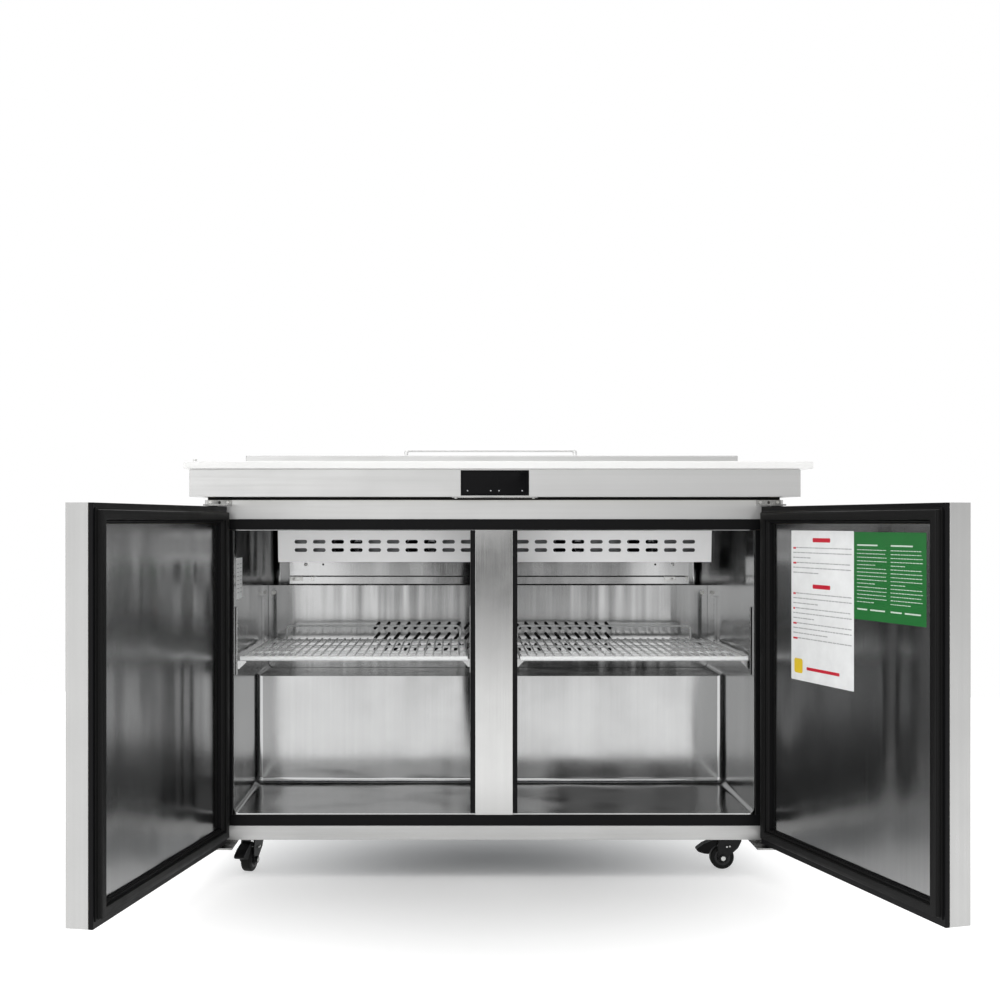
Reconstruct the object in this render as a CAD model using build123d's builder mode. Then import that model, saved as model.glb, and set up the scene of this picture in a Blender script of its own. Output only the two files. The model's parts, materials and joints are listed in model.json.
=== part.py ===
from build123d import *
import os
from math import cos, radians, sin

# Two-door undercounter prep refrigerator with a pan well, its doors standing open.
# Millimetres. X runs to the right seen from the front, Y from the front frame to the back, Z up.
# The origin lies on the floor, under the middle of the cabinet's front frame.

os.makedirs("parts", exist_ok=True)

# ---------------------------------------------------------------- driving dimensions
SHEET = 1.0  # stainless sheet
GAP = 0.3  # assembly gap between neighbours
BODY_X = 592  # half width of the cabinet body
BODY_BACK = 690
BODY_Z = (80, 776)
TOP_X = 612  # half width of the worktop
TOP_Y = (-62, 700)
TOP_Z = (781.6, 837)
OPEN_X = 533.0  # half width of the cold space
OPEN_Z = (134, 714)
LOW_BACK = 326  # lower rear wall, in front of the machine bay
STEP_Z = 378  # top of the machine-bay step
HIGH_BACK = 640  # rear wall of the upper space
DUCT_Y = 507  # louvred duct panel
COVE = 12  # coved corner radius of the liner
LIP = 2  # the liner's front lip stands this far behind the frame
WALL_BACK = 45  # foam thickness at the rear walls
RAIL_DEPTH = 25
TOP_RAIL_Z = (737, 776)
BOTTOM_RAIL_Z = (80, 108.6)
STILE_X = (556, 592)
BREAKER_DEPTH = 12
BREAKER_TOP = (715, 736.8)
BREAKER_BOTTOM = (109, 131)
BREAKER_SIDE = (536, 555.8)
MULLION_X = 48
MULLION_COVER_X = 38.5
MULLION_DEPTH = 60

PIVOT_X = 570  # door hinge axis, either side
PIVOT_Y = -35
DOOR_Z = (78, 762)
DOOR_OUT = -20  # hinge-side edge, from the pivot
DOOR_FREE = 567  # free edge, from the pivot
DOOR_FRONT = -25  # outer face, from the pivot
DOOR_BACK = 15  # back of the skin, from the pivot
FRAME_BACK = 23
GASKET_BACK = 34.6
GASKET_X = (-9, 560)
GASKET_Z = (89, 754)
GASKET_W = 24
PIN_R = 5.0
BUSH_R = 8.0
RUN = 0.05  # running clearance of pins and axles
LEFT_OPEN = -101.3  # door angles at rest, about +Z
RIGHT_OPEN = 106.5

WELL_X = 531
WELL_Y = (205.5, 532.5)
WELL_BOTTOM = 716
PAN_COUNT = 6
PAN_PITCH = 176.5
PAN_RIM_Z = 827.5
PAN_DEPTH = 100

LID_X = 535
LID_Y = (165, 575)
LID_Z = (838.7, 876)
LID_PIVOT = (581, 846)

CASTER_X = 505
CASTER_FRONT_Y = 85
CASTER_REAR_Y = 605
CASTER_TRAIL = 22
WHEEL_R = 25
WHEEL_W = 20
AXLE_R = 4.0
CASTERS = {
    "front_left": (-CASTER_X, CASTER_FRONT_Y, -105),
    "front_right": (CASTER_X, CASTER_FRONT_Y, 180),
    "rear_left": (-CASTER_X, CASTER_REAR_Y, 70),
    "rear_right": (CASTER_X, CASTER_REAR_Y, 115),
}
CASTER_BOLT_X = 44
CASTER_BOLT_Y = 36

FAN_COUNT = 5
FAN_PITCH = 160.8
FAN_SHIFT = 6.6
FAN_Z = 679.5
FAN_Y = (182, 204)
FAN_R = 31


# ---------------------------------------------------------------- helpers
def block(x, y, z, mode=Mode.ADD):
    """One block between two corners, each given as a span, in the part that is open."""
    spans = [sorted(s) for s in (x, y, z)]
    with Locations(tuple((a + b) / 2 for a, b in spans)):
        Box(*(b - a for a, b in spans), mode=mode)


def both(half):
    """The span from -half to half."""
    return (-half, half)


def rod(start, end, radius, mode=Mode.ADD):
    """One round bar from start to end, in the part that is open."""
    along = Vector(*end) - Vector(*start)
    with Locations(Plane(origin=start, z_dir=along).location):
        Cylinder(radius, along.length, align=(Align.CENTER, Align.CENTER, Align.MIN), mode=mode)


def save(piece, label):
    """Labels a finished piece and writes its STEP file."""
    piece.part.label = label
    export_step(piece.part, f"parts/{label}.step")


# ---------------------------------------------------------------- cabinet shell
with BuildPart() as outer_shell:
    for side in (-1, 1):
        block((side * (BODY_X - SHEET), side * BODY_X), (0, BODY_BACK - SHEET), BODY_Z)
        block(
            (side * STILE_X[0], side * STILE_X[1]),
            (0, SHEET),
            (BOTTOM_RAIL_Z[1] + GAP, TOP_RAIL_Z[0] - GAP),
        )
    rail_x = both(BODY_X - SHEET - GAP)
    for low, high in (TOP_RAIL_Z, BOTTOM_RAIL_Z):
        block(rail_x, (0, RAIL_DEPTH), (low, high))
        block(rail_x, (SHEET, RAIL_DEPTH), (low + SHEET, high - SHEET), Mode.SUBTRACT)
save(outer_shell, "outer_shell")

with BuildPart() as back_panel:
    block(both(BODY_X - SHEET), (BODY_BACK - SHEET + GAP / 2, BODY_BACK), (332, BODY_Z[1]))
save(back_panel, "back_panel")

BASE_Z = (80, 82)
with BuildPart() as base_plate:
    block(rail_x, (RAIL_DEPTH + GAP, BODY_BACK - 2 * SHEET), BASE_Z)
    for x, y, _ in CASTERS.values():
        with Locations((x, y, BASE_Z[1])):
            with GridLocations(CASTER_BOLT_X, CASTER_BOLT_Y, 2, 2):
                Hole(3.3)
save(base_plate, "base_plate")

# ---------------------------------------------------------------- foam
foam_x = both(OPEN_X + SHEET - GAP)
foam_y = (RAIL_DEPTH + 0.5, BODY_BACK - 2 * SHEET)
foam_bottom = BASE_Z[1] + GAP
foam_top = BODY_Z[1]
bay_front = LOW_BACK + SHEET + WALL_BACK
ceiling_z = (OPEN_Z[1] + SHEET + GAP, foam_top)
well_foam_y = (WELL_Y[0] - 3, WELL_Y[1] + 3)
core_z = (TOP_Z[0] + 1.6, TOP_Z[1] - 1.6)
core_x = TOP_X - 1.6
core_y = (TOP_Y[0] + 1.6, TOP_Y[1] - 1.6)
DISPLAY_X = 68.5
DISPLAY_Z = (783.8, 834.7)
DISPLAY_DEPTH = 31
with BuildPart() as insulation:
    for side in (-1, 1):
        wall_x = (side * (OPEN_X + SHEET + GAP), side * (BODY_X - SHEET - GAP))
        block(wall_x, foam_y, (foam_bottom, foam_top))
        block((side * (WELL_X + 3), side * core_x), (well_foam_y[0] + 1, well_foam_y[1] - 1), core_z)
        block((side * (DISPLAY_X + 4), side * core_x), (core_y[0], well_foam_y[0]), core_z)
    # floor, lower rear wall, step over the machine bay, upper rear wall
    block(foam_x, (foam_y[0], bay_front), (foam_bottom, OPEN_Z[0] - SHEET - GAP))
    block(foam_x, (LOW_BACK + SHEET + GAP, bay_front), (OPEN_Z[0] - 1, STEP_Z - WALL_BACK - 2))
    block(foam_x, (LOW_BACK + SHEET + GAP, foam_y[1]), (STEP_Z - WALL_BACK - 1, STEP_Z - 1 - GAP))
    block(foam_x, (HIGH_BACK + SHEET + GAP, foam_y[1]), (STEP_Z, foam_top))
    # ceiling before and behind the pan well
    block(foam_x, (foam_y[0], well_foam_y[0]), ceiling_z)
    block(foam_x, (well_foam_y[1], HIGH_BACK), ceiling_z)
    # worktop core behind the display and behind the pan well
    block(both(DISPLAY_X + 3), (TOP_Y[0] + DISPLAY_DEPTH + 2, well_foam_y[0]), core_z)
    block(both(core_x), (well_foam_y[1], core_y[1]), core_z)
save(insulation, "insulation")


# ---------------------------------------------------------------- liner
def cold_space(grow, front):
    """The stepped cold space with coved corners, every wall moved out by grow."""
    half = OPEN_X + grow
    spaces = []
    for back, floor, roof in (
        (LOW_BACK + grow, OPEN_Z[0] - grow, STEP_Z + 100),
        (HIGH_BACK + grow, STEP_Z - grow, OPEN_Z[1] + grow),
    ):
        with BuildPart(mode=Mode.PRIVATE) as space:
            block(both(half), (front, back), (floor, roof))
            coves = space.edges().group_by(Axis.Z)[0].filter_by(
                lambda e: e.center().Y > front + 1
            ) + space.edges().filter_by(Axis.Z).group_by(Axis.Y)[-1]
            fillet(coves, COVE + grow)
        spaces.append(space.part)
    return spaces


with BuildPart() as liner:
    for space in cold_space(SHEET, LIP):
        add(space)
    block(
        both(BREAKER_SIDE[0] - 0.1),
        (LIP, LIP + SHEET),
        (BREAKER_BOTTOM[1] + 0.1, BREAKER_TOP[0] - 0.1),
    )
    for space in cold_space(0, LIP - 5):
        add(space, mode=Mode.SUBTRACT)
    block(both(WELL_X + 1.6), (WELL_Y[0] - 1.6, WELL_Y[1] + 1.6), (712, 717), Mode.SUBTRACT)
save(liner, "liner")

# ---------------------------------------------------------------- mullion and breakers
mullion_z = (OPEN_Z[0] + 0.2, OPEN_Z[1] - 0.2)
COVER_Y = 0.2
FLANK_D = 4  # channel for the shelf support strip
FLANK_W = 12
with BuildPart() as mullion_post:
    block(both(MULLION_X), (LIP + SHEET + GAP, MULLION_DEPTH), mullion_z)
    for side in (-1, 1):
        block(
            (side * (MULLION_COVER_X + 0.2), side * MULLION_X),
            (COVER_Y, LIP + SHEET + GAP),
            mullion_z,
        )
        # channel for the shelf support on either flank
        block(
            (side * (MULLION_X - FLANK_D), side * MULLION_X),
            (MULLION_DEPTH - FLANK_W, MULLION_DEPTH),
            mullion_z,
            Mode.SUBTRACT,
        )
save(mullion_post, "mullion_post")

with BuildPart() as mullion_cover:
    block(
        both(MULLION_COVER_X),
        (COVER_Y, COVER_Y + 1.5),
        (BREAKER_BOTTOM[1] + 0.2, BREAKER_TOP[0] - 0.2),
    )
    fillet(mullion_cover.edges().filter_by(Axis.Z).group_by(Axis.Y)[0], 0.8)
save(mullion_cover, "mullion_cover")

SEAL_Z = (BODY_Z[1] + 0.1, TOP_Z[0] - 0.1)
SEAL_X = (575, 588)
SEAL_FRONT = (10, 21)
SEAL_BACK = (685, 689)
with BuildPart() as breaker_strips:
    for z in (BREAKER_TOP, BREAKER_BOTTOM):
        block(both(BREAKER_SIDE[1]), (0.2, BREAKER_DEPTH), z)
    for side in (-1, 1):
        block(
            (side * BREAKER_SIDE[0], side * BREAKER_SIDE[1]),
            (0.2, BREAKER_DEPTH),
            (BREAKER_BOTTOM[1] + 0.2, BREAKER_TOP[0] - 0.2),
        )
        # thermal break between the body and the worktop
        block((side * SEAL_X[0], side * SEAL_X[1]), (SEAL_FRONT[1] + 1, SEAL_BACK[0] - 1), SEAL_Z)
    for y in (SEAL_FRONT, SEAL_BACK):
        block(both(SEAL_X[1]), y, SEAL_Z)
save(breaker_strips, "breaker_strips")

# ---------------------------------------------------------------- air duct and evaporator
DUCT_TOP = 577.5
DUCT_FLANGE = 16
VENT_W = 7
VENT_SPAN = 16.3  # between the centres of a vent's round ends
VENT_LEAN = 50
VENT_PITCH = 24.4
VENT_COLUMNS = 12
VENT_SHIFT = 11
VENT_ROWS = (479.75, 454.25, 427.5)
with BuildPart() as duct_panel:
    duct_x = both(OPEN_X - GAP)
    block(duct_x, (DUCT_Y, DUCT_Y + SHEET), (STEP_Z + GAP, DUCT_TOP))
    fillet(duct_panel.edges().filter_by(Axis.Y).group_by(Axis.Z)[0], COVE + SHEET)
    block(duct_x, (DUCT_Y, DUCT_Y + DUCT_FLANGE), (DUCT_TOP - SHEET, DUCT_TOP))
    with BuildSketch(Plane.XZ.offset(-DUCT_Y - 2 * SHEET)):
        for side in (-1, 1):
            for column in range(VENT_COLUMNS):
                x = VENT_SHIFT + side * VENT_PITCH * (column + 0.5)
                with Locations(*((x, z) for z in VENT_ROWS)):
                    SlotCenterToCenter(VENT_SPAN, VENT_W, rotation=-side * VENT_LEAN)
    extrude(amount=3 * SHEET, mode=Mode.SUBTRACT)
save(duct_panel, "duct_panel")

COVER_CENTRE = FAN_SHIFT
COVER_HALF = 471.6
COVER_BOTTOM = 644
COVER_TOP = 712.5
COVER_FRONT = 172
COVER_LEAN = 6  # how far its top edge stands in front of its bottom edge
SLOT_COUNT = 22
SLOT_PITCH = 40.2
SLOT_ROWS = (688.2, 670.2)
SLOT_SIZE = (27.2, 8.2)
COVER_RETURN = 34  # depth of the flange under the fans
COVER_FLANGE = 10
with BuildPart() as evaporator_cover:
    with BuildSketch(Plane.YZ.offset(COVER_CENTRE - COVER_HALF)):
        with BuildLine():
            Polyline(
                (COVER_FRONT + COVER_RETURN, COVER_BOTTOM),
                (COVER_FRONT, COVER_BOTTOM),
                (COVER_FRONT - COVER_LEAN, COVER_TOP),
                (COVER_FRONT + COVER_FLANGE, COVER_TOP),
                (COVER_FRONT + COVER_FLANGE, COVER_TOP - SHEET),
                (COVER_FRONT - COVER_LEAN + 1.1 * SHEET, COVER_TOP - SHEET),
                (COVER_FRONT + SHEET, COVER_BOTTOM + SHEET),
                (COVER_FRONT + COVER_RETURN, COVER_BOTTOM + SHEET),
                close=True,
            )
        make_face()
    extrude(amount=2 * COVER_HALF)
    with BuildSketch(Plane.XZ.offset(-COVER_FRONT - COVER_FLANGE)):
        with Locations((COVER_CENTRE, sum(SLOT_ROWS) / 2)):
            with GridLocations(SLOT_PITCH, SLOT_ROWS[0] - SLOT_ROWS[1], SLOT_COUNT, 2):
                SlotOverall(*SLOT_SIZE)
    extrude(amount=3 * COVER_FLANGE, mode=Mode.SUBTRACT)
save(evaporator_cover, "evaporator_cover")

EVAP_X = 467
EVAP_Y = (386, 500)
EVAP_Z = (606, 712)
APRON_TOP = 650  # front apron under the fans' air stream
with BuildPart() as evaporator_housing:
    block(both(EVAP_X), EVAP_Y, EVAP_Z)
    block(
        both(EVAP_X - SHEET),
        (EVAP_Y[0] - 1, EVAP_Y[1] + 1),
        (EVAP_Z[0] + SHEET, EVAP_Z[1] - SHEET),
        Mode.SUBTRACT,
    )
    block(both(EVAP_X), (EVAP_Y[0], EVAP_Y[0] + SHEET), (EVAP_Z[0], APRON_TOP))
save(evaporator_housing, "evaporator_housing")

FIN_COUNT = 58
FIN_PITCH = 15
TUBE_ROWS = (632, 660, 688)
TUBE_COLUMNS = (415, 470)
FIN = (0.8, 96, 96)
TUBE_R = 5
TUBE_REACH = 12  # past the last fin
tube_half = FIN_PITCH * (FIN_COUNT - 1) / 2 + TUBE_REACH
with BuildPart() as evaporator_coil:
    with Locations((0, sum(EVAP_Y) / 2, sum(EVAP_Z) / 2)):
        with GridLocations(FIN_PITCH, 1, FIN_COUNT, 1):
            Box(*FIN)
    for y in TUBE_COLUMNS:
        for z in TUBE_ROWS:
            rod((-tube_half, y, z), (tube_half, y, z), TUBE_R)
save(evaporator_coil, "evaporator_coil")

DRIP_Y = (385, 505)
DRIP_Z = (587, 603)
SPIGOT_X = -420
SPIGOT_REACH = 25
SPIGOT_R = (7, 5.5)
with BuildPart() as drip_pan:
    block(both(EVAP_X), DRIP_Y, DRIP_Z)
    block(
        both(EVAP_X - SHEET),
        (DRIP_Y[0] + SHEET, DRIP_Y[1] - SHEET),
        (DRIP_Z[0] + SHEET, DRIP_Z[1] + 1),
        Mode.SUBTRACT,
    )
    # drain spigot at the back
    spigot_z = sum(DRIP_Z) / 2
    spigot_end = DRIP_Y[1] + SPIGOT_REACH
    rod((SPIGOT_X, DRIP_Y[1] - SHEET / 2, spigot_z), (SPIGOT_X, spigot_end, spigot_z), SPIGOT_R[0])
    bore_ends = ((SPIGOT_X, DRIP_Y[1] - 5, spigot_z), (SPIGOT_X, spigot_end + 1, spigot_z))
    rod(*bore_ends, SPIGOT_R[1], Mode.SUBTRACT)
save(drip_pan, "drip_pan")

FAN_XS = [FAN_SHIFT + FAN_PITCH * (i - (FAN_COUNT - 1) / 2) for i in range(FAN_COUNT)]
FAN_FRAME = 34
MOTOR_R = 13
MOTOR_Y = (FAN_Y[1] - 8, FAN_Y[1] + 6)
ROTOR_DEPTH = 11
SHAFT_R = 2.0
BLADES = 7
BLADE_PITCH = 35
SPOKE_HALF = 2
with BuildPart() as fan_frames:
    for x in FAN_XS:
        block((x - FAN_FRAME, x + FAN_FRAME), FAN_Y, (FAN_Z - FAN_FRAME, FAN_Z + FAN_FRAME))
        rod((x, FAN_Y[0] - 1, FAN_Z), (x, FAN_Y[1] + 1, FAN_Z), FAN_R, Mode.SUBTRACT)
        # four spokes and the motor can at the back of the tunnel
        spoke_y = (FAN_Y[1] - 2 * SPOKE_HALF, FAN_Y[1])
        for across, up in ((FAN_R + 1, SPOKE_HALF), (SPOKE_HALF, FAN_R + 1)):
            block((x - across, x + across), spoke_y, (FAN_Z - up, FAN_Z + up))
        rod((x, MOTOR_Y[0], FAN_Z), (x, MOTOR_Y[1], FAN_Z), MOTOR_R)
        rod((x, MOTOR_Y[0] - 4, FAN_Z), (x, MOTOR_Y[0], FAN_Z), SHAFT_R)
save(fan_frames, "fan_frames")


def impeller(x, y0, z, hub_r, tip_r, shaft_r, depth, count):
    """An axial impeller whose front face lies at y0, bored through for its shaft."""
    blade = (tip_r - hub_r + 2, 1.3 * depth, 1.2)
    with BuildPart() as wheel:
        rod((x, y0, z), (x, y0 + depth, z), hub_r)
        for i in range(count):
            a = radians(360 * i / count)
            spoke = Plane(
                origin=(x, y0 + depth / 2, z), x_dir=(cos(a), 0, sin(a)), z_dir=(0, -1, 0)
            )
            pitched = Location(((hub_r + tip_r) / 2 - 1, 0, 0), (BLADE_PITCH, 0, 0))
            with Locations(spoke.location * pitched):
                Box(*blade)
        rod((x, y0 - 1, z), (x, y0 + depth + 1, z), shaft_r + RUN, Mode.SUBTRACT)
    return wheel


for number, x in enumerate(FAN_XS, 1):
    fan = impeller(x, FAN_Y[0] + 1.5, FAN_Z, MOTOR_R - 1, FAN_R - 2, SHAFT_R, ROTOR_DEPTH, BLADES)
    save(fan, f"evaporator_fan_{number}")

# ---------------------------------------------------------------- shelf supports
PILASTER_Z = (417, 556)
PILASTER_Y = (16, 394)
PILASTER_W = 14
PILASTER_D = 5.5
HOLE_STEP = 12.7
HOLE_STEPS = 5  # holes above and below the middle one
HOLE_SIZE = (4, 5, 6)
POST_HALF = 9
POST_Y = (388, 400)
POST_FOOT = (12, 6)  # how wide its foot is, and how far it stands out
CLIP_TOP = 445.8
CLIP_H = 17
CLIP_TIP = 3.5
SHELF_INNER = 54
with BuildPart() as shelf_pilasters:
    for side in (-1, 1):
        wall = side * (OPEN_X - 0.1)
        for y in PILASTER_Y:
            strip_y = (y - PILASTER_W / 2, y + PILASTER_W / 2)
            block((wall, wall - side * PILASTER_D), strip_y, PILASTER_Z)
            block(
                (wall, wall - side * (PILASTER_D - 1)),
                (strip_y[0] + 1, strip_y[1] - 1),
                PILASTER_Z,
                Mode.SUBTRACT,
            )
            middle = sum(PILASTER_Z) / 2
            heights = [middle + HOLE_STEP * step for step in range(-HOLE_STEPS, HOLE_STEPS + 1)]
            with Locations(*((wall - side * PILASTER_D, y, z) for z in heights)):
                Box(*HOLE_SIZE, mode=Mode.SUBTRACT)
        # strip in the mullion's flank
        block(
            (side * (MULLION_X - FLANK_D + 0.2), side * (MULLION_X + 1)),
            (MULLION_DEPTH - FLANK_W + 0.2, MULLION_DEPTH - 0.5),
            PILASTER_Z,
        )
    # centre post standing on the step
    block(both(POST_HALF), POST_Y, (STEP_Z + 0.1, PILASTER_Z[1]))
    foot_y = (POST_Y[0] - POST_FOOT[1], POST_Y[1] + POST_FOOT[1])
    block(both(POST_FOOT[0]), foot_y, (STEP_Z + 0.1, STEP_Z + 2))
save(shelf_pilasters, "shelf_pilasters")


def shelf_clip(x0, reach, y, width):
    """A clip with a sloping strut, from x0 on its strip to x0 + reach under the shelf."""
    with BuildSketch(Plane.XZ.offset(-(y + width / 2))) as profile:
        with BuildLine():
            Polyline(
                (x0, CLIP_TOP),
                (x0 + reach, CLIP_TOP),
                (x0 + reach, CLIP_TOP - CLIP_TIP),
                (x0 + 0.2 * reach, CLIP_TOP - CLIP_H),
                (x0, CLIP_TOP - CLIP_H),
                close=True,
            )
        make_face()
    extrude(profile.sketch, amount=width)


with BuildPart() as shelf_clips:
    for side in (-1, 1):
        strip = side * (OPEN_X - 0.2 - PILASTER_D)
        for y in PILASTER_Y:
            shelf_clip(strip, -side * 18, y, 10)
        shelf_clip(side * (MULLION_X + 1.1), side * 16, MULLION_DEPTH - 6, 9)
        shelf_clip(side * (POST_HALF + 0.1), side * 56, sum(POST_Y) / 2, 10)
save(shelf_clips, "shelf_clips")

# ---------------------------------------------------------------- wire shelves
SHELF_OUTER = 521
SHELF_Y = (8, 432)
ROD_Z = 450
ROD_R = 3
BAR_Z = 451
BAR_R = 5
WIRE_Z = 454.6
WIRE_R = 1.9
WIRE_COUNT = 25
CROSS_YS = (150, 280, 410)
UPSTAND_Z = 485


def wire_shelf(side):
    """One coated wire shelf: front bar, side and cross rods, long wires, rear upstand."""
    inner, outer = side * (SHELF_INNER + ROD_R), side * (SHELF_OUTER - ROD_R)
    width = SHELF_OUTER - SHELF_INNER
    with BuildPart() as shelf:
        front = SHELF_Y[0]
        rod((side * SHELF_INNER, front, BAR_Z), (side * SHELF_OUTER, front, BAR_Z), BAR_R)
        for x in (inner, outer):
            rod((x, front, ROD_Z), (x, SHELF_Y[1] + ROD_R, ROD_Z), ROD_R)
        for y in (*CROSS_YS, SHELF_Y[1]):
            rod((inner, y, ROD_Z), (outer, y, ROD_Z), ROD_R)
        pitch = width / (WIRE_COUNT + 1)
        for i in range(1, WIRE_COUNT + 1):
            x = side * (SHELF_INNER + i * pitch)
            rod((x, front, WIRE_Z), (x, SHELF_Y[1] + 2, WIRE_Z), WIRE_R)
        with BuildLine() as hoop:
            near, far = side * (SHELF_INNER + 14), side * (SHELF_OUTER - 42)
            back = SHELF_Y[1] - 1
            FilletPolyline(
                (near, back, ROD_Z),
                (near, back, UPSTAND_Z),
                (far, back, UPSTAND_Z),
                (far, back, ROD_Z),
                radius=10,
            )
        with BuildSketch(Plane(origin=(near, back, ROD_Z))):
            Circle(2.4)
        sweep(path=hoop.line)
    return shelf


save(wire_shelf(-1), "left_shelf")
save(wire_shelf(1), "right_shelf")

# ---------------------------------------------------------------- worktop, pan well and pans
TOP_SHEET = 1.2
with BuildPart() as worktop:
    block(both(TOP_X), TOP_Y, TOP_Z)
    fillet(worktop.edges().group_by(Axis.Z)[-1], 2.5)
    block(
        both(TOP_X - TOP_SHEET),
        (TOP_Y[0] + TOP_SHEET, TOP_Y[1] - TOP_SHEET),
        (TOP_Z[0] + TOP_SHEET, TOP_Z[1] - TOP_SHEET),
        Mode.SUBTRACT,
    )
    block(both(TOP_X - 22), (TOP_Y[0] + 22, TOP_Y[1] - 22), (780, 784), Mode.SUBTRACT)
    block(both(WELL_X + 2), (WELL_Y[0] - 2, WELL_Y[1] + 2), (830, 840), Mode.SUBTRACT)
    block(both(DISPLAY_X), (TOP_Y[0] - 1, TOP_Y[0] + 3), DISPLAY_Z, Mode.SUBTRACT)
save(worktop, "worktop")

well_half_wall = 1.2
FLANGE_Z = (TOP_Z[1] + 0.1, TOP_Z[1] + 1.3)
LEDGE_Z = (PAN_RIM_Z - 1.5, PAN_RIM_Z - 0.3)
with BuildPart() as pan_well:
    block(
        both(WELL_X + well_half_wall),
        (WELL_Y[0] - well_half_wall, WELL_Y[1] + well_half_wall),
        (WELL_BOTTOM, FLANGE_Z[1]),
    )
    block(both(WELL_X + 14), (WELL_Y[0] - 14, WELL_Y[1] + 14), FLANGE_Z)
    block(both(WELL_X), WELL_Y, (WELL_BOTTOM - 1, FLANGE_Z[1] + 1), Mode.SUBTRACT)
    for y in ((WELL_Y[0] - 1, WELL_Y[0] + 9), (WELL_Y[1] - 9, WELL_Y[1] + 1)):
        block(both(WELL_X + 0.5), y, LEDGE_Z)
    # bars between neighbouring pans
    for i in range(1, PAN_COUNT):
        x = PAN_PITCH * (i - PAN_COUNT / 2)
        block((x - 5, x + 5), (WELL_Y[0] - 0.5, WELL_Y[1] + 0.5), (LEDGE_Z[0] - 7, LEDGE_Z[1]))
save(pan_well, "pan_well")

PAN_MID_Y = sum(WELL_Y) / 2
PAN_RIM = (PAN_PITCH - 1, 325)
PAN_MOUTH = (152, 300)
PAN_WALL = 1.0
PAN_CENTRES = [(PAN_PITCH * (i - (PAN_COUNT - 1) / 2), PAN_MID_Y) for i in range(PAN_COUNT)]
with BuildPart() as food_pans:
    with BuildSketch(Plane.XY.offset(PAN_RIM_Z)):
        with Locations(*PAN_CENTRES):
            RectangleRounded(*PAN_RIM, 12)
    extrude(amount=1.5)
    with BuildSketch(Plane.XY.offset(PAN_RIM_Z + 1)):
        with Locations(*PAN_CENTRES):
            RectangleRounded(*PAN_MOUTH, 22)
    extrude(amount=-PAN_DEPTH, taper=3)
    with BuildSketch(Plane.XY.offset(PAN_RIM_Z + 2)):
        with Locations(*PAN_CENTRES):
            RectangleRounded(*(side - 2 * PAN_WALL for side in PAN_MOUTH), 21)
    extrude(amount=-PAN_DEPTH, taper=3, mode=Mode.SUBTRACT)
save(food_pans, "food_pans")

BOARD_X = (-624, 638)
BOARD_Y = (-62, 158)
BOARD_Z = (837.4, 853)
STUD_X = -604
STUD_Y = -44
with BuildPart() as cutting_board:
    block(BOARD_X, BOARD_Y, BOARD_Z)
    fillet(cutting_board.edges(), 2.2)
    with Locations((STUD_X, STUD_Y, BOARD_Z[1])):
        Hole(5)
save(cutting_board, "cutting_board")

# ---------------------------------------------------------------- pan lid and its hinges
HINGE_XS = (-400, 400)
KNUCKLE_R = 5
KNUCKLE_X = 4.7
LID_PIN_R = 2.5
pivot_y, pivot_z = LID_PIVOT
with BuildPart() as lid_panel:
    block(both(LID_X), LID_Y, LID_Z)
    fillet(lid_panel.edges().group_by(Axis.Z)[-1] + lid_panel.edges().filter_by(Axis.Z), 3)
    block(
        both(LID_X - TOP_SHEET),
        (LID_Y[0] + TOP_SHEET, LID_Y[1] - TOP_SHEET),
        (LID_Z[0] - 1, LID_Z[1] - TOP_SHEET),
        Mode.SUBTRACT,
    )
    for x in HINGE_XS:
        block((x - KNUCKLE_X, x + KNUCKLE_X), (LID_Y[1] - 1, pivot_y), (pivot_z - 4, pivot_z + 4))
        rod((x - KNUCKLE_X, pivot_y, pivot_z), (x + KNUCKLE_X, pivot_y, pivot_z), KNUCKLE_R)
        rod(
            (x - 2 * KNUCKLE_X, pivot_y, pivot_z),
            (x + 2 * KNUCKLE_X, pivot_y, pivot_z),
            LID_PIN_R + RUN,
            Mode.SUBTRACT,
        )
save(lid_panel, "lid_panel")

LEAF_Z = (TOP_Z[1] + 0.1, TOP_Z[1] + 2.1)
with BuildPart() as lid_hinge:
    for x in HINGE_XS:
        for side in (-1, 1):
            inner, outer = x + side * (KNUCKLE_X + 0.3), x + side * 16
            rod((inner, pivot_y, pivot_z), (outer, pivot_y, pivot_z), KNUCKLE_R)
            block((inner, outer), (pivot_y - 1, pivot_y + KNUCKLE_R), (LEAF_Z[0], pivot_z))
        block((x - 16, x + 16), (pivot_y - 1, pivot_y + 24), LEAF_Z)
        rod((x - 15, pivot_y, pivot_z), (x + 15, pivot_y, pivot_z), LID_PIN_R)
save(lid_hinge, "lid_hinge")

HANDLE_X = (-187, 183)
HANDLE_Y = 192
HANDLE_Z = (LID_Z[1] + 0.1, 889)
with BuildPart() as lid_handle:
    with BuildLine() as bow:
        FilletPolyline(
            (HANDLE_X[0], HANDLE_Y, HANDLE_Z[0]),
            (HANDLE_X[0], HANDLE_Y, HANDLE_Z[1]),
            (HANDLE_X[1], HANDLE_Y, HANDLE_Z[1]),
            (HANDLE_X[1], HANDLE_Y, HANDLE_Z[0]),
            radius=7,
        )
    with BuildSketch(Plane(origin=(HANDLE_X[0], HANDLE_Y, HANDLE_Z[0]))):
        Circle(4.5)
    sweep(path=bow.line)
save(lid_handle, "lid_handle")

# ---------------------------------------------------------------- controller
with BuildPart() as controller:
    block(
        both(DISPLAY_X - 0.2),
        (TOP_Y[0] - 0.3, TOP_Y[0] + DISPLAY_DEPTH),
        (DISPLAY_Z[0] + 0.2, DISPLAY_Z[1] - 0.2),
    )
    fillet(controller.edges().group_by(Axis.Y)[0], 0.8)
save(controller, "controller")

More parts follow.
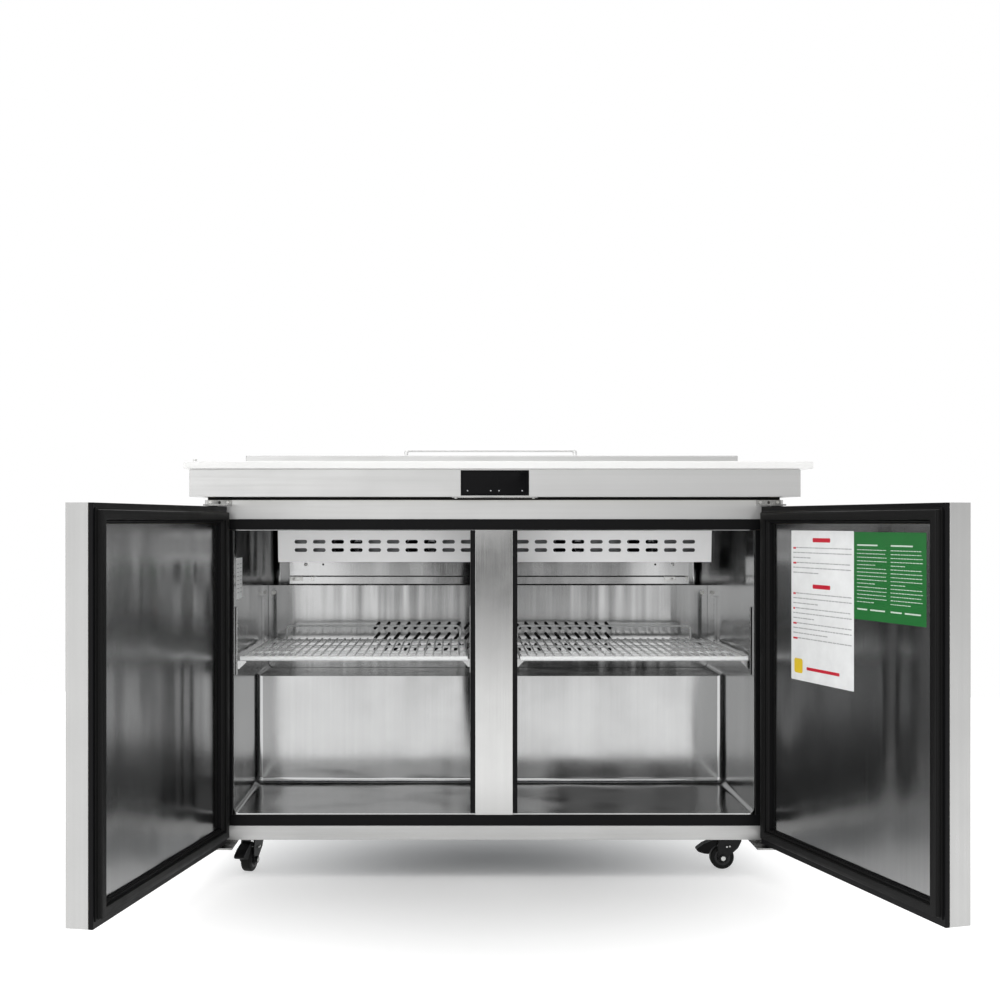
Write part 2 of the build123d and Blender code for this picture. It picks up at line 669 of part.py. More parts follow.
# ---------------------------------------------------------------- brackets with their pins
TOP_PLATE_Z = (764, 767)
BOTTOM_PLATE_Z = (72, 75.5)
TOP_PLATE_X = (537, 587)
BOTTOM_PLATE_X = (528, 592)
FOOT_DEPTH = 45
PIN_DEPTH = 13  # into the door
STRIP_X = 86
with BuildPart() as brackets:
    for side in (-1, 1):
        bracket_x = tuple(side * x for x in TOP_PLATE_X)
        block(bracket_x, (PIVOT_Y - 12, -GAP), TOP_PLATE_Z)
        block(bracket_x, (-GAP - 2, -GAP), (TOP_PLATE_Z[0], BODY_Z[1]))
        axis = (side * PIVOT_X, PIVOT_Y)
        rod((*axis, DOOR_Z[1] - PIN_DEPTH), (*axis, TOP_PLATE_Z[0] + 1), PIN_R)
        foot_x = tuple(side * x for x in BOTTOM_PLATE_X)
        block(foot_x, (PIVOT_Y - 18, FOOT_DEPTH), BOTTOM_PLATE_Z)
        block(foot_x, (1, FOOT_DEPTH), (BOTTOM_PLATE_Z[0], BODY_Z[0] - 0.1))
        rod((*axis, BOTTOM_PLATE_Z[0]), (*axis, DOOR_Z[0] + PIN_DEPTH), PIN_R)
    # strip that carries the controller, under the fascia's lower edge
    block(both(STRIP_X), (TOP_Y[0] + 0.5, TOP_Y[0] + 20), (TOP_Z[0] - 2, TOP_Z[0] - 0.1))
save(brackets, "brackets")


# ---------------------------------------------------------------- doors
PULL_X = (380, 540)
PULL_Y = -4
PULL_Z = 734
BUSH_DEPTH = 14
BUSH_FLANGE = 1.6


def door_plane(side):
    """The hinge plane of one door at rest: +X along the closed cabinet, turned open."""
    angle = radians(LEFT_OPEN if side < 0 else RIGHT_OPEN)
    return Plane(origin=(side * PIVOT_X, PIVOT_Y, 0), x_dir=(cos(angle), sin(angle), 0))


def ring(x, y, z, width, mode=Mode.ADD):
    """A rectangular ring in the door's plane, width wide, drawn inwards from x and z."""
    block(x, y, z, mode)
    inner_x = (x[0] + width * (1 if x[1] > x[0] else -1), x[1] - width * (1 if x[1] > x[0] else -1))
    block(inner_x, (y[0] - 0.01, y[1] + 0.01), (z[0] + width, z[1] - width), Mode.SUBTRACT)


def door_pins(radius, depth, mode):
    """Round stretches on the hinge axis at the door's top and bottom."""
    rod((0, 0, DOOR_Z[1] - depth), (0, 0, DOOR_Z[1] + 3), radius, mode)
    rod((0, 0, DOOR_Z[0] - 3), (0, 0, DOOR_Z[0] + depth), radius, mode)


def make_door(name, side):
    """Skin, foam, frame with its bushes, inner panel and gasket of one door."""
    plane = door_plane(side)
    s = -side

    def along(x0, x1):
        return (s * x0, s * x1)

    with BuildPart() as hollow:
        block(
            along(DOOR_OUT + SHEET, DOOR_FREE - SHEET),
            (DOOR_FRONT + SHEET, DOOR_BACK + 1),
            (DOOR_Z[0] + SHEET, DOOR_Z[1] - SHEET),
        )
        block(
            along(PULL_X[0] - SHEET, PULL_X[1] + SHEET),
            (DOOR_FRONT, PULL_Y + SHEET),
            (PULL_Z - SHEET, DOOR_Z[1]),
            Mode.SUBTRACT,
        )
    with BuildPart(plane) as skin:
        block(along(DOOR_OUT, DOOR_FREE), (DOOR_FRONT, DOOR_BACK), DOOR_Z)
        fillet(skin.edges().filter_by(Axis.Z), 1.5)
        pull_z = (PULL_Z, DOOR_Z[1] + 1)
        block(along(*PULL_X), (DOOR_FRONT - 1, PULL_Y), pull_z, Mode.SUBTRACT)
        add(hollow.part, mode=Mode.SUBTRACT)
        door_pins(BUSH_R + 0.2, 3, Mode.SUBTRACT)
    save(skin, f"{name}_door_skin")

    foam_in = SHEET + GAP
    with BuildPart(plane) as foam:
        full_y = (DOOR_FRONT + foam_in, DOOR_BACK - GAP)
        low_z, high_z = DOOR_Z[0] + foam_in, DOOR_Z[1] - foam_in
        band_z = (PULL_Z - SHEET, high_z)
        block(along(DOOR_OUT + foam_in, DOOR_FREE - foam_in), full_y, (low_z, PULL_Z - SHEET - GAP))
        block(along(DOOR_OUT + foam_in, PULL_X[0] - foam_in), full_y, band_z)
        block(along(PULL_X[1] + foam_in, DOOR_FREE - foam_in), full_y, band_z)
        block(along(PULL_X[0] - 1, PULL_X[1] + 1), (PULL_Y + foam_in, full_y[1]), band_z)
        door_pins(BUSH_R + 0.2, BUSH_DEPTH + 1, Mode.SUBTRACT)
    save(foam, f"{name}_door_foam")

    frame_in = GASKET_X[0] + GASKET_W + 2 - DOOR_OUT
    with BuildPart(plane) as frame:
        block(along(DOOR_OUT, DOOR_FREE), (DOOR_BACK + 0.1, FRAME_BACK), DOOR_Z)
        fillet(frame.edges().filter_by(Axis.Z), 1.5)
        block(
            along(DOOR_OUT + frame_in, GASKET_X[1] - GASKET_W - 2),
            (DOOR_BACK, FRAME_BACK + 1),
            (GASKET_Z[0] + GASKET_W + 2, GASKET_Z[1] - GASKET_W - 2),
            Mode.SUBTRACT,
        )
        # flanged bushes pressed into the door's ends
        for end, out in ((DOOR_Z[1], 1), (DOOR_Z[0], -1)):
            rod((0, 0, end - out * BUSH_DEPTH), (0, 0, end + out), BUSH_R)
            rod((0, 0, end + out * 0.1), (0, 0, end + out * BUSH_FLANGE), BUSH_R + 2)
        door_pins(PIN_R + RUN, BUSH_DEPTH + 1, Mode.SUBTRACT)
    save(frame, f"{name}_door_frame")

    panel_x = (DOOR_OUT + frame_in + GAP, GASKET_X[1] - GASKET_W - 2 - GAP)
    panel_z = (GASKET_Z[0] + GASKET_W + 2 + GAP, GASKET_Z[1] - GASKET_W - 2 - GAP)
    with BuildPart(plane) as panel:
        block(along(*panel_x), (DOOR_BACK, DOOR_BACK + 4), panel_z)
        block(
            along(panel_x[0] + SHEET, panel_x[1] - SHEET),
            (DOOR_BACK - 1, DOOR_BACK + 3),
            (panel_z[0] + SHEET, panel_z[1] - SHEET),
            Mode.SUBTRACT,
        )
    save(panel, f"{name}_door_inner_panel")

    with BuildPart(plane) as gasket:
        ring(along(*GASKET_X), (FRAME_BACK + 0.1, FRAME_BACK + 5), GASKET_Z, GASKET_W)
        ring(
            along(GASKET_X[0] + 4, GASKET_X[1] - 4),
            (FRAME_BACK + 4, GASKET_BACK),
            (GASKET_Z[0] + 4, GASKET_Z[1] - 4),
            GASKET_W - 8,
        )
    save(gasket, f"{name}_door_gasket")


make_door("left", -1)
make_door("right", 1)

# ---------------------------------------------------------------- casters
PLATE_Z = (76.8, 79.9)
PLATE_SIZE = (58, 50)
KING_R = 5.0
RACE_R = 19
with BuildPart() as caster_plates:
    for x, y, _ in CASTERS.values():
        with BuildSketch(Plane.XY.offset(PLATE_Z[0])):
            with Locations((x, y)):
                RectangleRounded(*PLATE_SIZE, 5)
                with GridLocations(CASTER_BOLT_X, CASTER_BOLT_Y, 2, 2):
                    Circle(3.3, mode=Mode.SUBTRACT)
        extrude(amount=PLATE_Z[1] - PLATE_Z[0])
        rod((x, y, 74.3), (x, y, PLATE_Z[0]), RACE_R)
        rod((x, y, 62), (x, y, PLATE_Z[0]), KING_R)
        rod((x, y, 60), (x, y, 64), KING_R + 3)
save(caster_plates, "caster_plates")

CROWN_Z = (66, 74)
LEG_TOP = 70.5
LEG_Y = (12.5, 15.5)


def caster_plane(x, y, angle):
    """The swivel plane of one caster: +X points along its trail."""
    a = radians(angle)
    return Plane(origin=(x, y, 0), x_dir=(cos(a), sin(a), 0))


def side_plane(plane, y):
    """An upright plane along a caster's trail, y away from its middle, facing -Y."""
    return Plane(origin=plane.from_local_coords((0, y, 0)), x_dir=plane.x_dir, z_dir=-plane.y_dir)


def caster_fork(x, y, angle):
    """Swivel crown and two legs, with the axle bolt as a solid of its own."""
    plane = caster_plane(x, y, angle)
    with BuildPart(plane) as fork:
        rod((0, 0, CROWN_Z[0]), (0, 0, CROWN_Z[1]), 21)
        block((0, 24), both(LEG_Y[1]), (CROWN_Z[0], LEG_TOP))
        for low, high in (LEG_Y, (-LEG_Y[1], -LEG_Y[0])):
            with BuildSketch(side_plane(plane, high)):
                with BuildLine():
                    Polyline(
                        (-17, LEG_TOP),
                        (28, LEG_TOP),
                        (33, 52),
                        (31, 25),
                        (13, 25),
                        (-10, 46),
                        (-17, 60),
                        close=True,
                    )
                make_face()
                with Locations((CASTER_TRAIL, 25)):
                    Circle(9)
                    Circle(AXLE_R + 0.1, mode=Mode.SUBTRACT)
            extrude(amount=high - low)
        rod((0, 0, 65), (0, 0, 75), KING_R + RUN, Mode.SUBTRACT)
        trail, reach = CASTER_TRAIL, LEG_Y[1] + 0.1
        rod((trail, -reach - 4, 25), (trail, reach + 4, 25), AXLE_R)
        rod((trail, reach, 25), (trail, reach + 4, 25), 6.5)
        rod((trail, -reach - 4, 25), (trail, -reach, 25), 6.5)
    return fork


def caster_wheel(x, y, angle):
    """A wheel with a crowned tread and a raised hub, bored for its axle."""
    plane = caster_plane(x, y, angle)
    half = WHEEL_W / 2
    with BuildPart(plane) as wheel:
        rod((CASTER_TRAIL, -half, WHEEL_R), (CASTER_TRAIL, half, WHEEL_R), WHEEL_R)
        fillet(wheel.edges().filter_by(GeomType.CIRCLE), 4)
        rod((CASTER_TRAIL, -half - 1.5, WHEEL_R), (CASTER_TRAIL, half + 1.5, WHEEL_R), 8)
        bore = half + 2
        rod((CASTER_TRAIL, -bore, WHEEL_R), (CASTER_TRAIL, bore, WHEEL_R), AXLE_R + RUN, Mode.SUBTRACT)
    return wheel


PEDAL_HALF = 11
PEDAL_CLEAR = 29.5


def brake_pedal(x, y, angle):
    """A foot pedal that wraps the front of its wheel and reaches forward of it."""
    plane = caster_plane(x, y, angle)
    with BuildPart(plane) as pedal:
        with BuildSketch(side_plane(plane, PEDAL_HALF)):
            with BuildLine():
                Polyline(
                    (26, 57),
                    (28, 63.5),
                    (46, 60),
                    (62, 53),
                    (75, 43.5),
                    (76, 40),
                    (72, 36.5),
                    (60, 33),
                    (48, 32),
                    (40, 40),
                    close=True,
                )
            make_face()
            with Locations((CASTER_TRAIL, WHEEL_R)):
                Circle(PEDAL_CLEAR, mode=Mode.SUBTRACT)
        extrude(amount=2 * PEDAL_HALF)
    return pedal


for place, (x, y, angle) in CASTERS.items():
    save(caster_fork(x, y, angle), f"caster_fork_{place}")
    save(caster_wheel(x, y, angle), f"caster_wheel_{place}")
    if place.startswith("front"):
        save(brake_pedal(x, y, angle), f"brake_pedal_{place}")

# ---------------------------------------------------------------- machine bay
BAY_Z = BASE_Z[1] + 0.1
COMP_X = -330
COMP_Y = 520
CAN_HALF = (92, 72)
CAN_Z = (18, 168)  # above the base
CAN_ROUND = (20, 40)  # its lower and upper edge
FOOT_AT = (92, 48)
FOOT_R = 10
with BuildPart() as compressor:
    with BuildSketch(Plane.XY.offset(BAY_Z + CAN_Z[0])):
        with Locations((COMP_X, COMP_Y)):
            Ellipse(*CAN_HALF)
    extrude(amount=CAN_Z[1] - CAN_Z[0])
    fillet(compressor.edges().group_by(Axis.Z)[-1], CAN_ROUND[1])
    fillet(compressor.edges().group_by(Axis.Z)[0], CAN_ROUND[0])
    with Locations((COMP_X, COMP_Y, BAY_Z)):
        # mounting plate, its saddle under the can, and the feet
        block(both(FOOT_AT[0] + 13), both(FOOT_AT[1] + 12), (12, 15))
        block(both(30), both(30), (14, 25))
        for x in both(FOOT_AT[0]):
            for y in both(FOOT_AT[1]):
                rod((x, y, 0), (x, y, 13), FOOT_R)
        # terminal cover on the flank
        block((80, 108), both(25), (70, 130))
save(compressor, "compressor")

COIL_X = (60, 340)
COIL_Y = (590, 650)
COIL_Z = (BAY_Z, BAY_Z + 205)
COIL_FINS = 34
COIL_FIN_PITCH = 8
COIL_FIN_GAP = (6.8, 62, 190)
COIL_TUBES_Z = (30, 70, 110, 150, 180)  # above the base
COIL_TUBES_Y = (605, 635)
SHROUD_Y = 545
CFAN_X = 200
CFAN_Z = BAY_Z + 102
CFAN_R = 86
CMOTOR_R = 34
CMOTOR_Y = 480
with BuildPart() as condenser:
    # fin pack and end plates
    block(COIL_X, COIL_Y, COIL_Z)
    with Locations((CFAN_X, sum(COIL_Y) / 2, CFAN_Z)):
        with GridLocations(COIL_FIN_PITCH, 1, COIL_FINS, 1):
            Box(*COIL_FIN_GAP, mode=Mode.SUBTRACT)
    for height in COIL_TUBES_Z:
        for y in COIL_TUBES_Y:
            rod((COIL_X[0] + 1, y, BAY_Z + height), (COIL_X[1] - 1, y, BAY_Z + height), 4.5)
    # shroud in front of the coil, with the motor held on a cross strap
    block(COIL_X, (SHROUD_Y, COIL_Y[0] - 0.5), COIL_Z)
    block(
        (COIL_X[0] + SHEET, COIL_X[1] - SHEET),
        (SHROUD_Y + SHEET, COIL_Y[0]),
        (COIL_Z[0] + SHEET, COIL_Z[1] - SHEET),
        Mode.SUBTRACT,
    )
    mouth = ((CFAN_X, SHROUD_Y - 5, CFAN_Z), (CFAN_X, SHROUD_Y + 5, CFAN_Z))
    rod(*mouth, CFAN_R + 3, Mode.SUBTRACT)
    strap_x = (COIL_X[0] + 0.5, COIL_X[1] - 0.5)
    block(strap_x, (SHROUD_Y - 15, SHROUD_Y + 0.5), (CFAN_Z - 9, CFAN_Z + 9))
    rod((CFAN_X, CMOTOR_Y, CFAN_Z), (CFAN_X, SHROUD_Y, CFAN_Z), CMOTOR_R)
    rod((CFAN_X, SHROUD_Y - 5, CFAN_Z), (CFAN_X, SHROUD_Y + 17, CFAN_Z), 4)
save(condenser, "condenser")

cooling_fan = impeller(CFAN_X, SHROUD_Y + 3, CFAN_Z, 22, CFAN_R - 2, 4, 24, 5)
save(cooling_fan, "condenser_fan")

PIPE_R = 4
PIPES = (
    # discharge: compressor to the condenser's top
    ((COMP_X + 60, 520, 240), (COMP_X + 60, 520, 300), (0, 560, 300), (0, 620, 262), (59.5, 620, 262)),
    # suction: compressor up to the wall of the duct
    ((COMP_X - 60, 520, 240), (COMP_X - 60, 520, 310), (-480, 450, 310), (-480, 450, 331)),
    # liquid: condenser's foot along the floor
    ((59.5, 620, 112), (10, 620, 112), (10, 440, 112), (-200, 410, 112), (-200, 410, 331)),
)
with BuildPart() as refrigerant_lines:
    for points in PIPES:
        with BuildLine() as route:
            FilletPolyline(*points, radius=14)
        start = Vector(*points[0])
        with BuildSketch(Plane(origin=start, z_dir=Vector(*points[1]) - start)):
            Circle(PIPE_R)
        sweep(path=route.line)
save(refrigerant_lines, "refrigerant_lines")

GRILLE_Z = (84, 330)
LOUVRE_XS = (-330, 0, 330)
LOUVRE_Z = 215
LOUVRE = (230, 7)
LOUVRE_PITCH = 15
LOUVRE_ROWS = 11
INLET = (520, 120)  # X and Z of the cord's inlet
INLET_R = 11
CORD_BORE_R = 4.5
with BuildPart() as rear_grille:
    block(both(BODY_X - 4), (BODY_BACK - 1, BODY_BACK), GRILLE_Z)
    with BuildSketch(Plane.XZ.offset(-BODY_BACK - 2)):
        with Locations(*((x, LOUVRE_Z) for x in LOUVRE_XS)):
            with GridLocations(1, LOUVRE_PITCH, 1, LOUVRE_ROWS):
                SlotOverall(*LOUVRE)
        with Locations(INLET):
            Circle(INLET_R + GAP)
    extrude(amount=5, mode=Mode.SUBTRACT)
save(rear_grille, "rear_grille")

with BuildPart() as power_inlet:
    for y, radius in (((0.1, 6), 15), ((5, 10), INLET_R), ((-18, 1), INLET_R)):
        ends = [(INLET[0], BODY_BACK + out, INLET[1]) for out in y]
        rod(*ends, radius)
    bore = [(INLET[0], BODY_BACK + out, INLET[1]) for out in (-19, 11)]
    rod(*bore, CORD_BORE_R, Mode.SUBTRACT)
save(power_inlet, "power_inlet")

# ---------------------------------------------------------------- screws, bolts and the board stud
DUCT_SCREW = (521, 560)
NUT_R = 5
with BuildPart() as fasteners:
    for x in both(DUCT_SCREW[0]):
        rod((x, DUCT_Y - 2.2, DUCT_SCREW[1]), (x, DUCT_Y - 0.1, DUCT_SCREW[1]), 5)
    for side in (-1, 1):
        for x in (TOP_PLATE_X[1] - 7, TOP_PLATE_X[0] + 8):
            rod((side * x, -3.9, 771.5), (side * x, -2.4, 771.5), 3)
        for x in (BOTTOM_PLATE_X[1] - 6, BOTTOM_PLATE_X[0] + 6):
            rod((side * x, 30, 69.5), (side * x, 30, BOTTOM_PLATE_Z[0] - 0.1), 5)
        strip = (side * (STRIP_X - 8), TOP_Y[0] + 10)
        rod((*strip, 778), (*strip, 779.5), 3)
    for x, y, _ in CASTERS.values():
        for dx in both(CASTER_BOLT_X / 2):
            for dy in both(CASTER_BOLT_Y / 2):
                with BuildSketch(Plane.XY.offset(71.5)):
                    with Locations((x + dx, y + dy)):
                        RegularPolygon(NUT_R, 6)
                extrude(amount=5.2)
                rod((x + dx, y + dy, 72), (x + dx, y + dy, BASE_Z[1] + 0.2), 3)
    # stud that keeps the cutting board from sliding
    rod((STUD_X, STUD_Y, TOP_Z[1] + 0.1), (STUD_X, STUD_Y, 857.5), 4.2)
save(fasteners, "fasteners")
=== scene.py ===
import json
import math
import random

import bmesh
import bpy
from mathutils import Matrix, Vector


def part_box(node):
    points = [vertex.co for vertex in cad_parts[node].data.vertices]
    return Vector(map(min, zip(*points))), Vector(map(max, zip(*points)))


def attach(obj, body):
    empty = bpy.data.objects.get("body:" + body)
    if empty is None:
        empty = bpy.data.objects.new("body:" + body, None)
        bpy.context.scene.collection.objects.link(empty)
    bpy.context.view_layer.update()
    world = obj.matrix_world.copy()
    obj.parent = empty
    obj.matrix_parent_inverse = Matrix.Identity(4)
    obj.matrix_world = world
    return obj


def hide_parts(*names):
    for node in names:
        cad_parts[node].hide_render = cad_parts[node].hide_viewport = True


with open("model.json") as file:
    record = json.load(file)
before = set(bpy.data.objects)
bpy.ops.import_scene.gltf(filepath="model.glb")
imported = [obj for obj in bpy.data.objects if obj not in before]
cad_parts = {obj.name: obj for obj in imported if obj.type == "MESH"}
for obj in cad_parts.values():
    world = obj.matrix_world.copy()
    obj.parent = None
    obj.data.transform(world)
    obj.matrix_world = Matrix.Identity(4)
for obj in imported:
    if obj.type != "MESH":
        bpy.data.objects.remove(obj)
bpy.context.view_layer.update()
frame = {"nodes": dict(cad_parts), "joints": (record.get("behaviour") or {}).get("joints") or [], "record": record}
nodes = frame["nodes"]
joints = {joint["name"]: joint for joint in frame["joints"]}

MM = 0.001
ACROSS = Vector((1, 0, 0))
BACKWARDS = Vector((0, 1, 0))
UP = Vector((0, 0, 1))

# ---------------------------------------------------------------- camera and light
EYE = (-0.0778, -2.712, 0.729)
LEVEL_VIEW = (math.radians(90), 0, 0)
FOCAL_LENGTH = 47.66
FRAMING_SHIFT = (0.044, 0.023)
MIDDLE = Vector((0.0, 0.2, 0.45))  # where every light points
SOFTBOXES = {  # place, size and power
    "key_light": ((-1.15, -3.6, 1.5), (3.0, 1.7), 17),
    "top_light": ((-0.4, -0.9, 3.6), (3.0, 2.2), 30),
    "back_light": ((0.6, 4.2, 2.4), (3.0, 2.0), 34),
}

camera_data = bpy.data.cameras.new("camera")
camera_data.lens = FOCAL_LENGTH
camera_data.shift_x, camera_data.shift_y = FRAMING_SHIFT
camera = bpy.data.objects.new("camera", camera_data)
camera.location = EYE
camera.rotation_euler = LEVEL_VIEW
bpy.context.scene.collection.objects.link(camera)
bpy.context.scene.camera = camera
bpy.context.scene.view_settings.view_transform = "Standard"


def softbox(name, place, size, power):
    """A soft rectangular studio light that isn't itself seen."""
    data = bpy.data.lights.new(name, "AREA")
    data.shape = "RECTANGLE"
    data.size, data.size_y = size
    data.energy = power
    light = bpy.data.objects.new(name, data)
    light.location = place
    light.rotation_euler = (MIDDLE - Vector(place)).to_track_quat("-Z", "Y").to_euler()
    light.visible_camera = False
    bpy.context.scene.collection.objects.link(light)


for softbox_name, settings in SOFTBOXES.items():
    softbox(softbox_name, *settings)

# ---------------------------------------------------------------- node helpers
NOISE_ENDS = (0.3, 0.7)  # fractal noise seldom leaves this band
WHITE = (1.0, 1.0, 1.0)
BLACK = (0.0, 0.0, 0.0)


def add_node(tree, kind, inputs=None, **settings):
    """A shader node, with its settings, and its inputs given as values or linked sockets."""
    made = tree.nodes.new("ShaderNode" + kind)
    for key, value in settings.items():
        setattr(made, key, value)
    for key, value in (inputs or {}).items():
        if isinstance(value, bpy.types.NodeSocket):
            tree.links.new(value, made.inputs[key])
        else:
            made.inputs[key].default_value = value
    return made


def calc(tree, operation, a, b=0.0, c=0.0, clamp=False):
    """One arithmetic step on values or sockets."""
    return add_node(tree, "Math", {0: a, 1: b, 2: c}, operation=operation, use_clamp=clamp).outputs[0]


def remap(tree, value, ends, results=(0.0, 1.0), **settings):
    """A socket whose run from one end to the other becomes a run between the two results."""
    inputs = {
        "Value": value,
        "From Min": ends[0],
        "From Max": ends[1],
        "To Min": results[0],
        "To Max": results[1],
    }
    return add_node(tree, "MapRange", inputs, **settings).outputs[0]


def spread(tree, value, low, high):
    """Noise turned into a value between low and high."""
    return remap(tree, value, NOISE_ENDS, (low, high))


def colours_along(tree, value, stops):
    """A 0 to 1 socket turned into a colour by a row of (place, colour) stops."""
    ramp = add_node(tree, "ValToRGB", {"Fac": value})
    elements = ramp.color_ramp.elements
    while len(elements) < len(stops):
        elements.new(0.5)
    for stop, (place, colour) in zip(elements, stops):
        stop.position = place
        stop.color = (*colour, 1)
    return ramp.outputs[0]


def tone(tree, value, dark, light, ends=NOISE_ENDS):
    """Noise turned into a colour between dark and light."""
    return colours_along(tree, value, ((ends[0], dark), (ends[1], light)))


def blend_colour(tree, factor, a, b):
    """Two colours mixed by a socket."""
    mix = add_node(tree, "Mix", {"Factor": factor}, data_type="RGBA")
    for index, value in ((6, a), (7, b)):
        if isinstance(value, bpy.types.NodeSocket):
            tree.links.new(value, mix.inputs[index])
        else:
            mix.inputs[index].default_value = (*value, 1)
    return mix.outputs[2]


def rubbed(tree, edges, amount, colour, bright):
    """A colour that turns bright along worn edges."""
    return blend_colour(tree, calc(tree, "MULTIPLY", edges, amount), colour, bright)


def noise(tree, vector, scale, detail, roughness):
    """Fractal noise on a coordinate."""
    inputs = {"Vector": vector, "Scale": scale, "Detail": detail, "Roughness": roughness}
    return add_node(tree, "TexNoise", inputs).outputs["Fac"]


def stretched_noise(tree, vector, stretch, detail, roughness, turn=0.0):
    """Fractal noise drawn out by a different amount along each axis."""
    inputs = {"Vector": vector, "Rotation": (0, 0, math.radians(turn)), "Scale": stretch}
    return noise(tree, add_node(tree, "Mapping", inputs).outputs[0], 1.0, detail, roughness)


def bump(tree, height, distance, strength, normal=None):
    """Relief from a height socket, laid over an earlier normal."""
    inputs = {"Height": height, "Distance": distance, "Strength": strength}
    if normal is not None:
        inputs["Normal"] = normal
    return add_node(tree, "Bump", inputs).outputs[0]


def scaled(colour, factor):
    """A colour made lighter or darker."""
    return tuple(min(1.0, c * factor) for c in colour)


def grey(value):
    """A neutral colour."""
    return (value, value, value)


def start_material(name):
    """An empty material: the material, its node tree, its shader and its object coordinates."""
    made = bpy.data.materials.new(name)
    made.use_nodes = True
    tree = made.node_tree
    tree.nodes.clear()
    shader = add_node(tree, "BsdfPrincipled")
    add_node(tree, "OutputMaterial", {"Surface": shader.outputs[0]})
    return made, tree, shader, add_node(tree, "TexCoord").outputs["Object"]


def finish_shader(tree, shader, colour, roughness, normal):
    """Links the three channels that vary over the surface."""
    tree.links.new(colour, shader.inputs["Base Color"])
    tree.links.new(roughness, shader.inputs["Roughness"])
    tree.links.new(normal, shader.inputs["Normal"])


def edge_mask(tree, radius):
    """The rounded-edge normal of a part, and a mask that is 1 on its edges."""
    rounded = add_node(tree, "Bevel", {"Radius": radius}, samples=4).outputs[0]
    flat = add_node(tree, "NewGeometry").outputs["Normal"]
    facing = add_node(tree, "VectorMath", {0: rounded, 1: flat}, operation="DOT_PRODUCT")
    return rounded, remap(tree, facing.outputs["Value"], (0.995, 0.9))


# ---------------------------------------------------------------- materials
FINE_GRAIN, LONG_GRAIN = 620.0, 5.0  # repeats per metre across and along the brushing
UPRIGHT_GRAIN, LEVEL_GRAIN = (0.02, 0.0, 1.0), (1.0, 0.02, 0.0)
SWELL_ALONG, SWELL_DEPTHWISE = 1.3, 5.0


def grain_coordinates(tree, place, upright):
    """Coordinates drawn out along the brushing, which also lies flat on level faces."""
    tilt = add_node(tree, "SeparateXYZ", {0: add_node(tree, "TexCoord").outputs["Normal"]})
    level = calc(tree, "ABSOLUTE", tilt.outputs[2])
    if upright:
        mixed = calc(tree, "MULTIPLY_ADD", level, LONG_GRAIN - FINE_GRAIN, FINE_GRAIN)
        stretch = {0: mixed, 1: FINE_GRAIN, 2: LONG_GRAIN}
    else:
        mixed = calc(tree, "MULTIPLY_ADD", level, FINE_GRAIN - LONG_GRAIN, LONG_GRAIN)
        stretch = {0: LONG_GRAIN, 1: mixed, 2: FINE_GRAIN}
    factors = add_node(tree, "CombineXYZ", stretch).outputs[0]
    return add_node(tree, "VectorMath", {0: place, 1: factors}, operation="MULTIPLY").outputs[0]


def steel(
    name, colour, roughness, upright,
    streaks=0.03, wave=0.002, anisotropic=0.55, edge=0.0006, glance=1.0, ripples=7.0,
):
    """Brushed stainless sheet: fine grain, long streaks, waviness, handling marks, bright edges."""
    made, tree, shader, place = start_material(name)
    shader.inputs["Metallic"].default_value = 1.0
    shader.inputs["Anisotropic"].default_value = anisotropic
    shader.inputs["Specular Tint"].default_value = (*grey(glance), 1.0)
    grain_place = grain_coordinates(tree, place, upright)
    grain = noise(tree, grain_place, scale=1.0, detail=3.0, roughness=0.6)
    bands = noise(tree, grain_place, scale=0.16, detail=2.0, roughness=0.55)
    marks = noise(tree, place, scale=7.0, detail=4.0, roughness=0.55)
    swell = (ripples, ripples, SWELL_ALONG) if upright else (SWELL_ALONG, SWELL_DEPTHWISE, ripples)
    waves = stretched_noise(tree, place, swell, detail=1.0, roughness=0.4)
    rounded, edges = edge_mask(tree, edge)
    body = tone(tree, bands, scaled(colour, 1 - streaks), scaled(colour, 1 + streaks))
    marked = blend_colour(tree, spread(tree, marks, 0.0, 0.35), body, scaled(colour, 0.93))
    worn = rubbed(tree, edges, 0.6, marked, scaled(colour, 1.22))
    brushing = spread(tree, grain, roughness * 0.85, roughness * 1.15)
    rough = calc(tree, "ADD", brushing, spread(tree, marks, -0.03, 0.04))
    wavy = bump(tree, waves, distance=wave, strength=1.0, normal=rounded)
    brushed = bump(tree, grain, distance=0.00001, strength=0.35, normal=wavy)
    finish_shader(tree, shader, worn, rough, brushed)
    run = add_node(
        tree, "VectorTransform", {0: UPRIGHT_GRAIN if upright else LEVEL_GRAIN},
        vector_type="VECTOR", convert_from="OBJECT", convert_to="WORLD",
    )
    tree.links.new(run.outputs[0], shader.inputs["Tangent"])
    return made


def galvanised(name, colour):
    """Zinc-coated sheet with its crystal spangle."""
    made, tree, shader, place = start_material(name)
    shader.inputs["Metallic"].default_value = 0.9
    cells = add_node(tree, "TexVoronoi", {"Vector": place, "Scale": 90.0})
    flake = add_node(tree, "SeparateColor", {0: cells.outputs["Color"]}).outputs[0]
    dull = noise(tree, place, scale=5.0, detail=4.0, roughness=0.6)
    rounded, edges = edge_mask(tree, 0.0005)
    body = tone(tree, flake, scaled(colour, 0.86), scaled(colour, 1.12), ends=(0.1, 0.9))
    hazed = blend_colour(tree, spread(tree, dull, 0.0, 0.45), body, scaled(colour, 0.82))
    worn = rubbed(tree, edges, 0.5, hazed, scaled(colour, 1.25))
    rough = calc(tree, "ADD", spread(tree, flake, 0.36, 0.46), spread(tree, dull, -0.04, 0.08))
    relief = bump(tree, flake, distance=0.00004, strength=0.5, normal=rounded)
    finish_shader(tree, shader, worn, rough, relief)
    return made


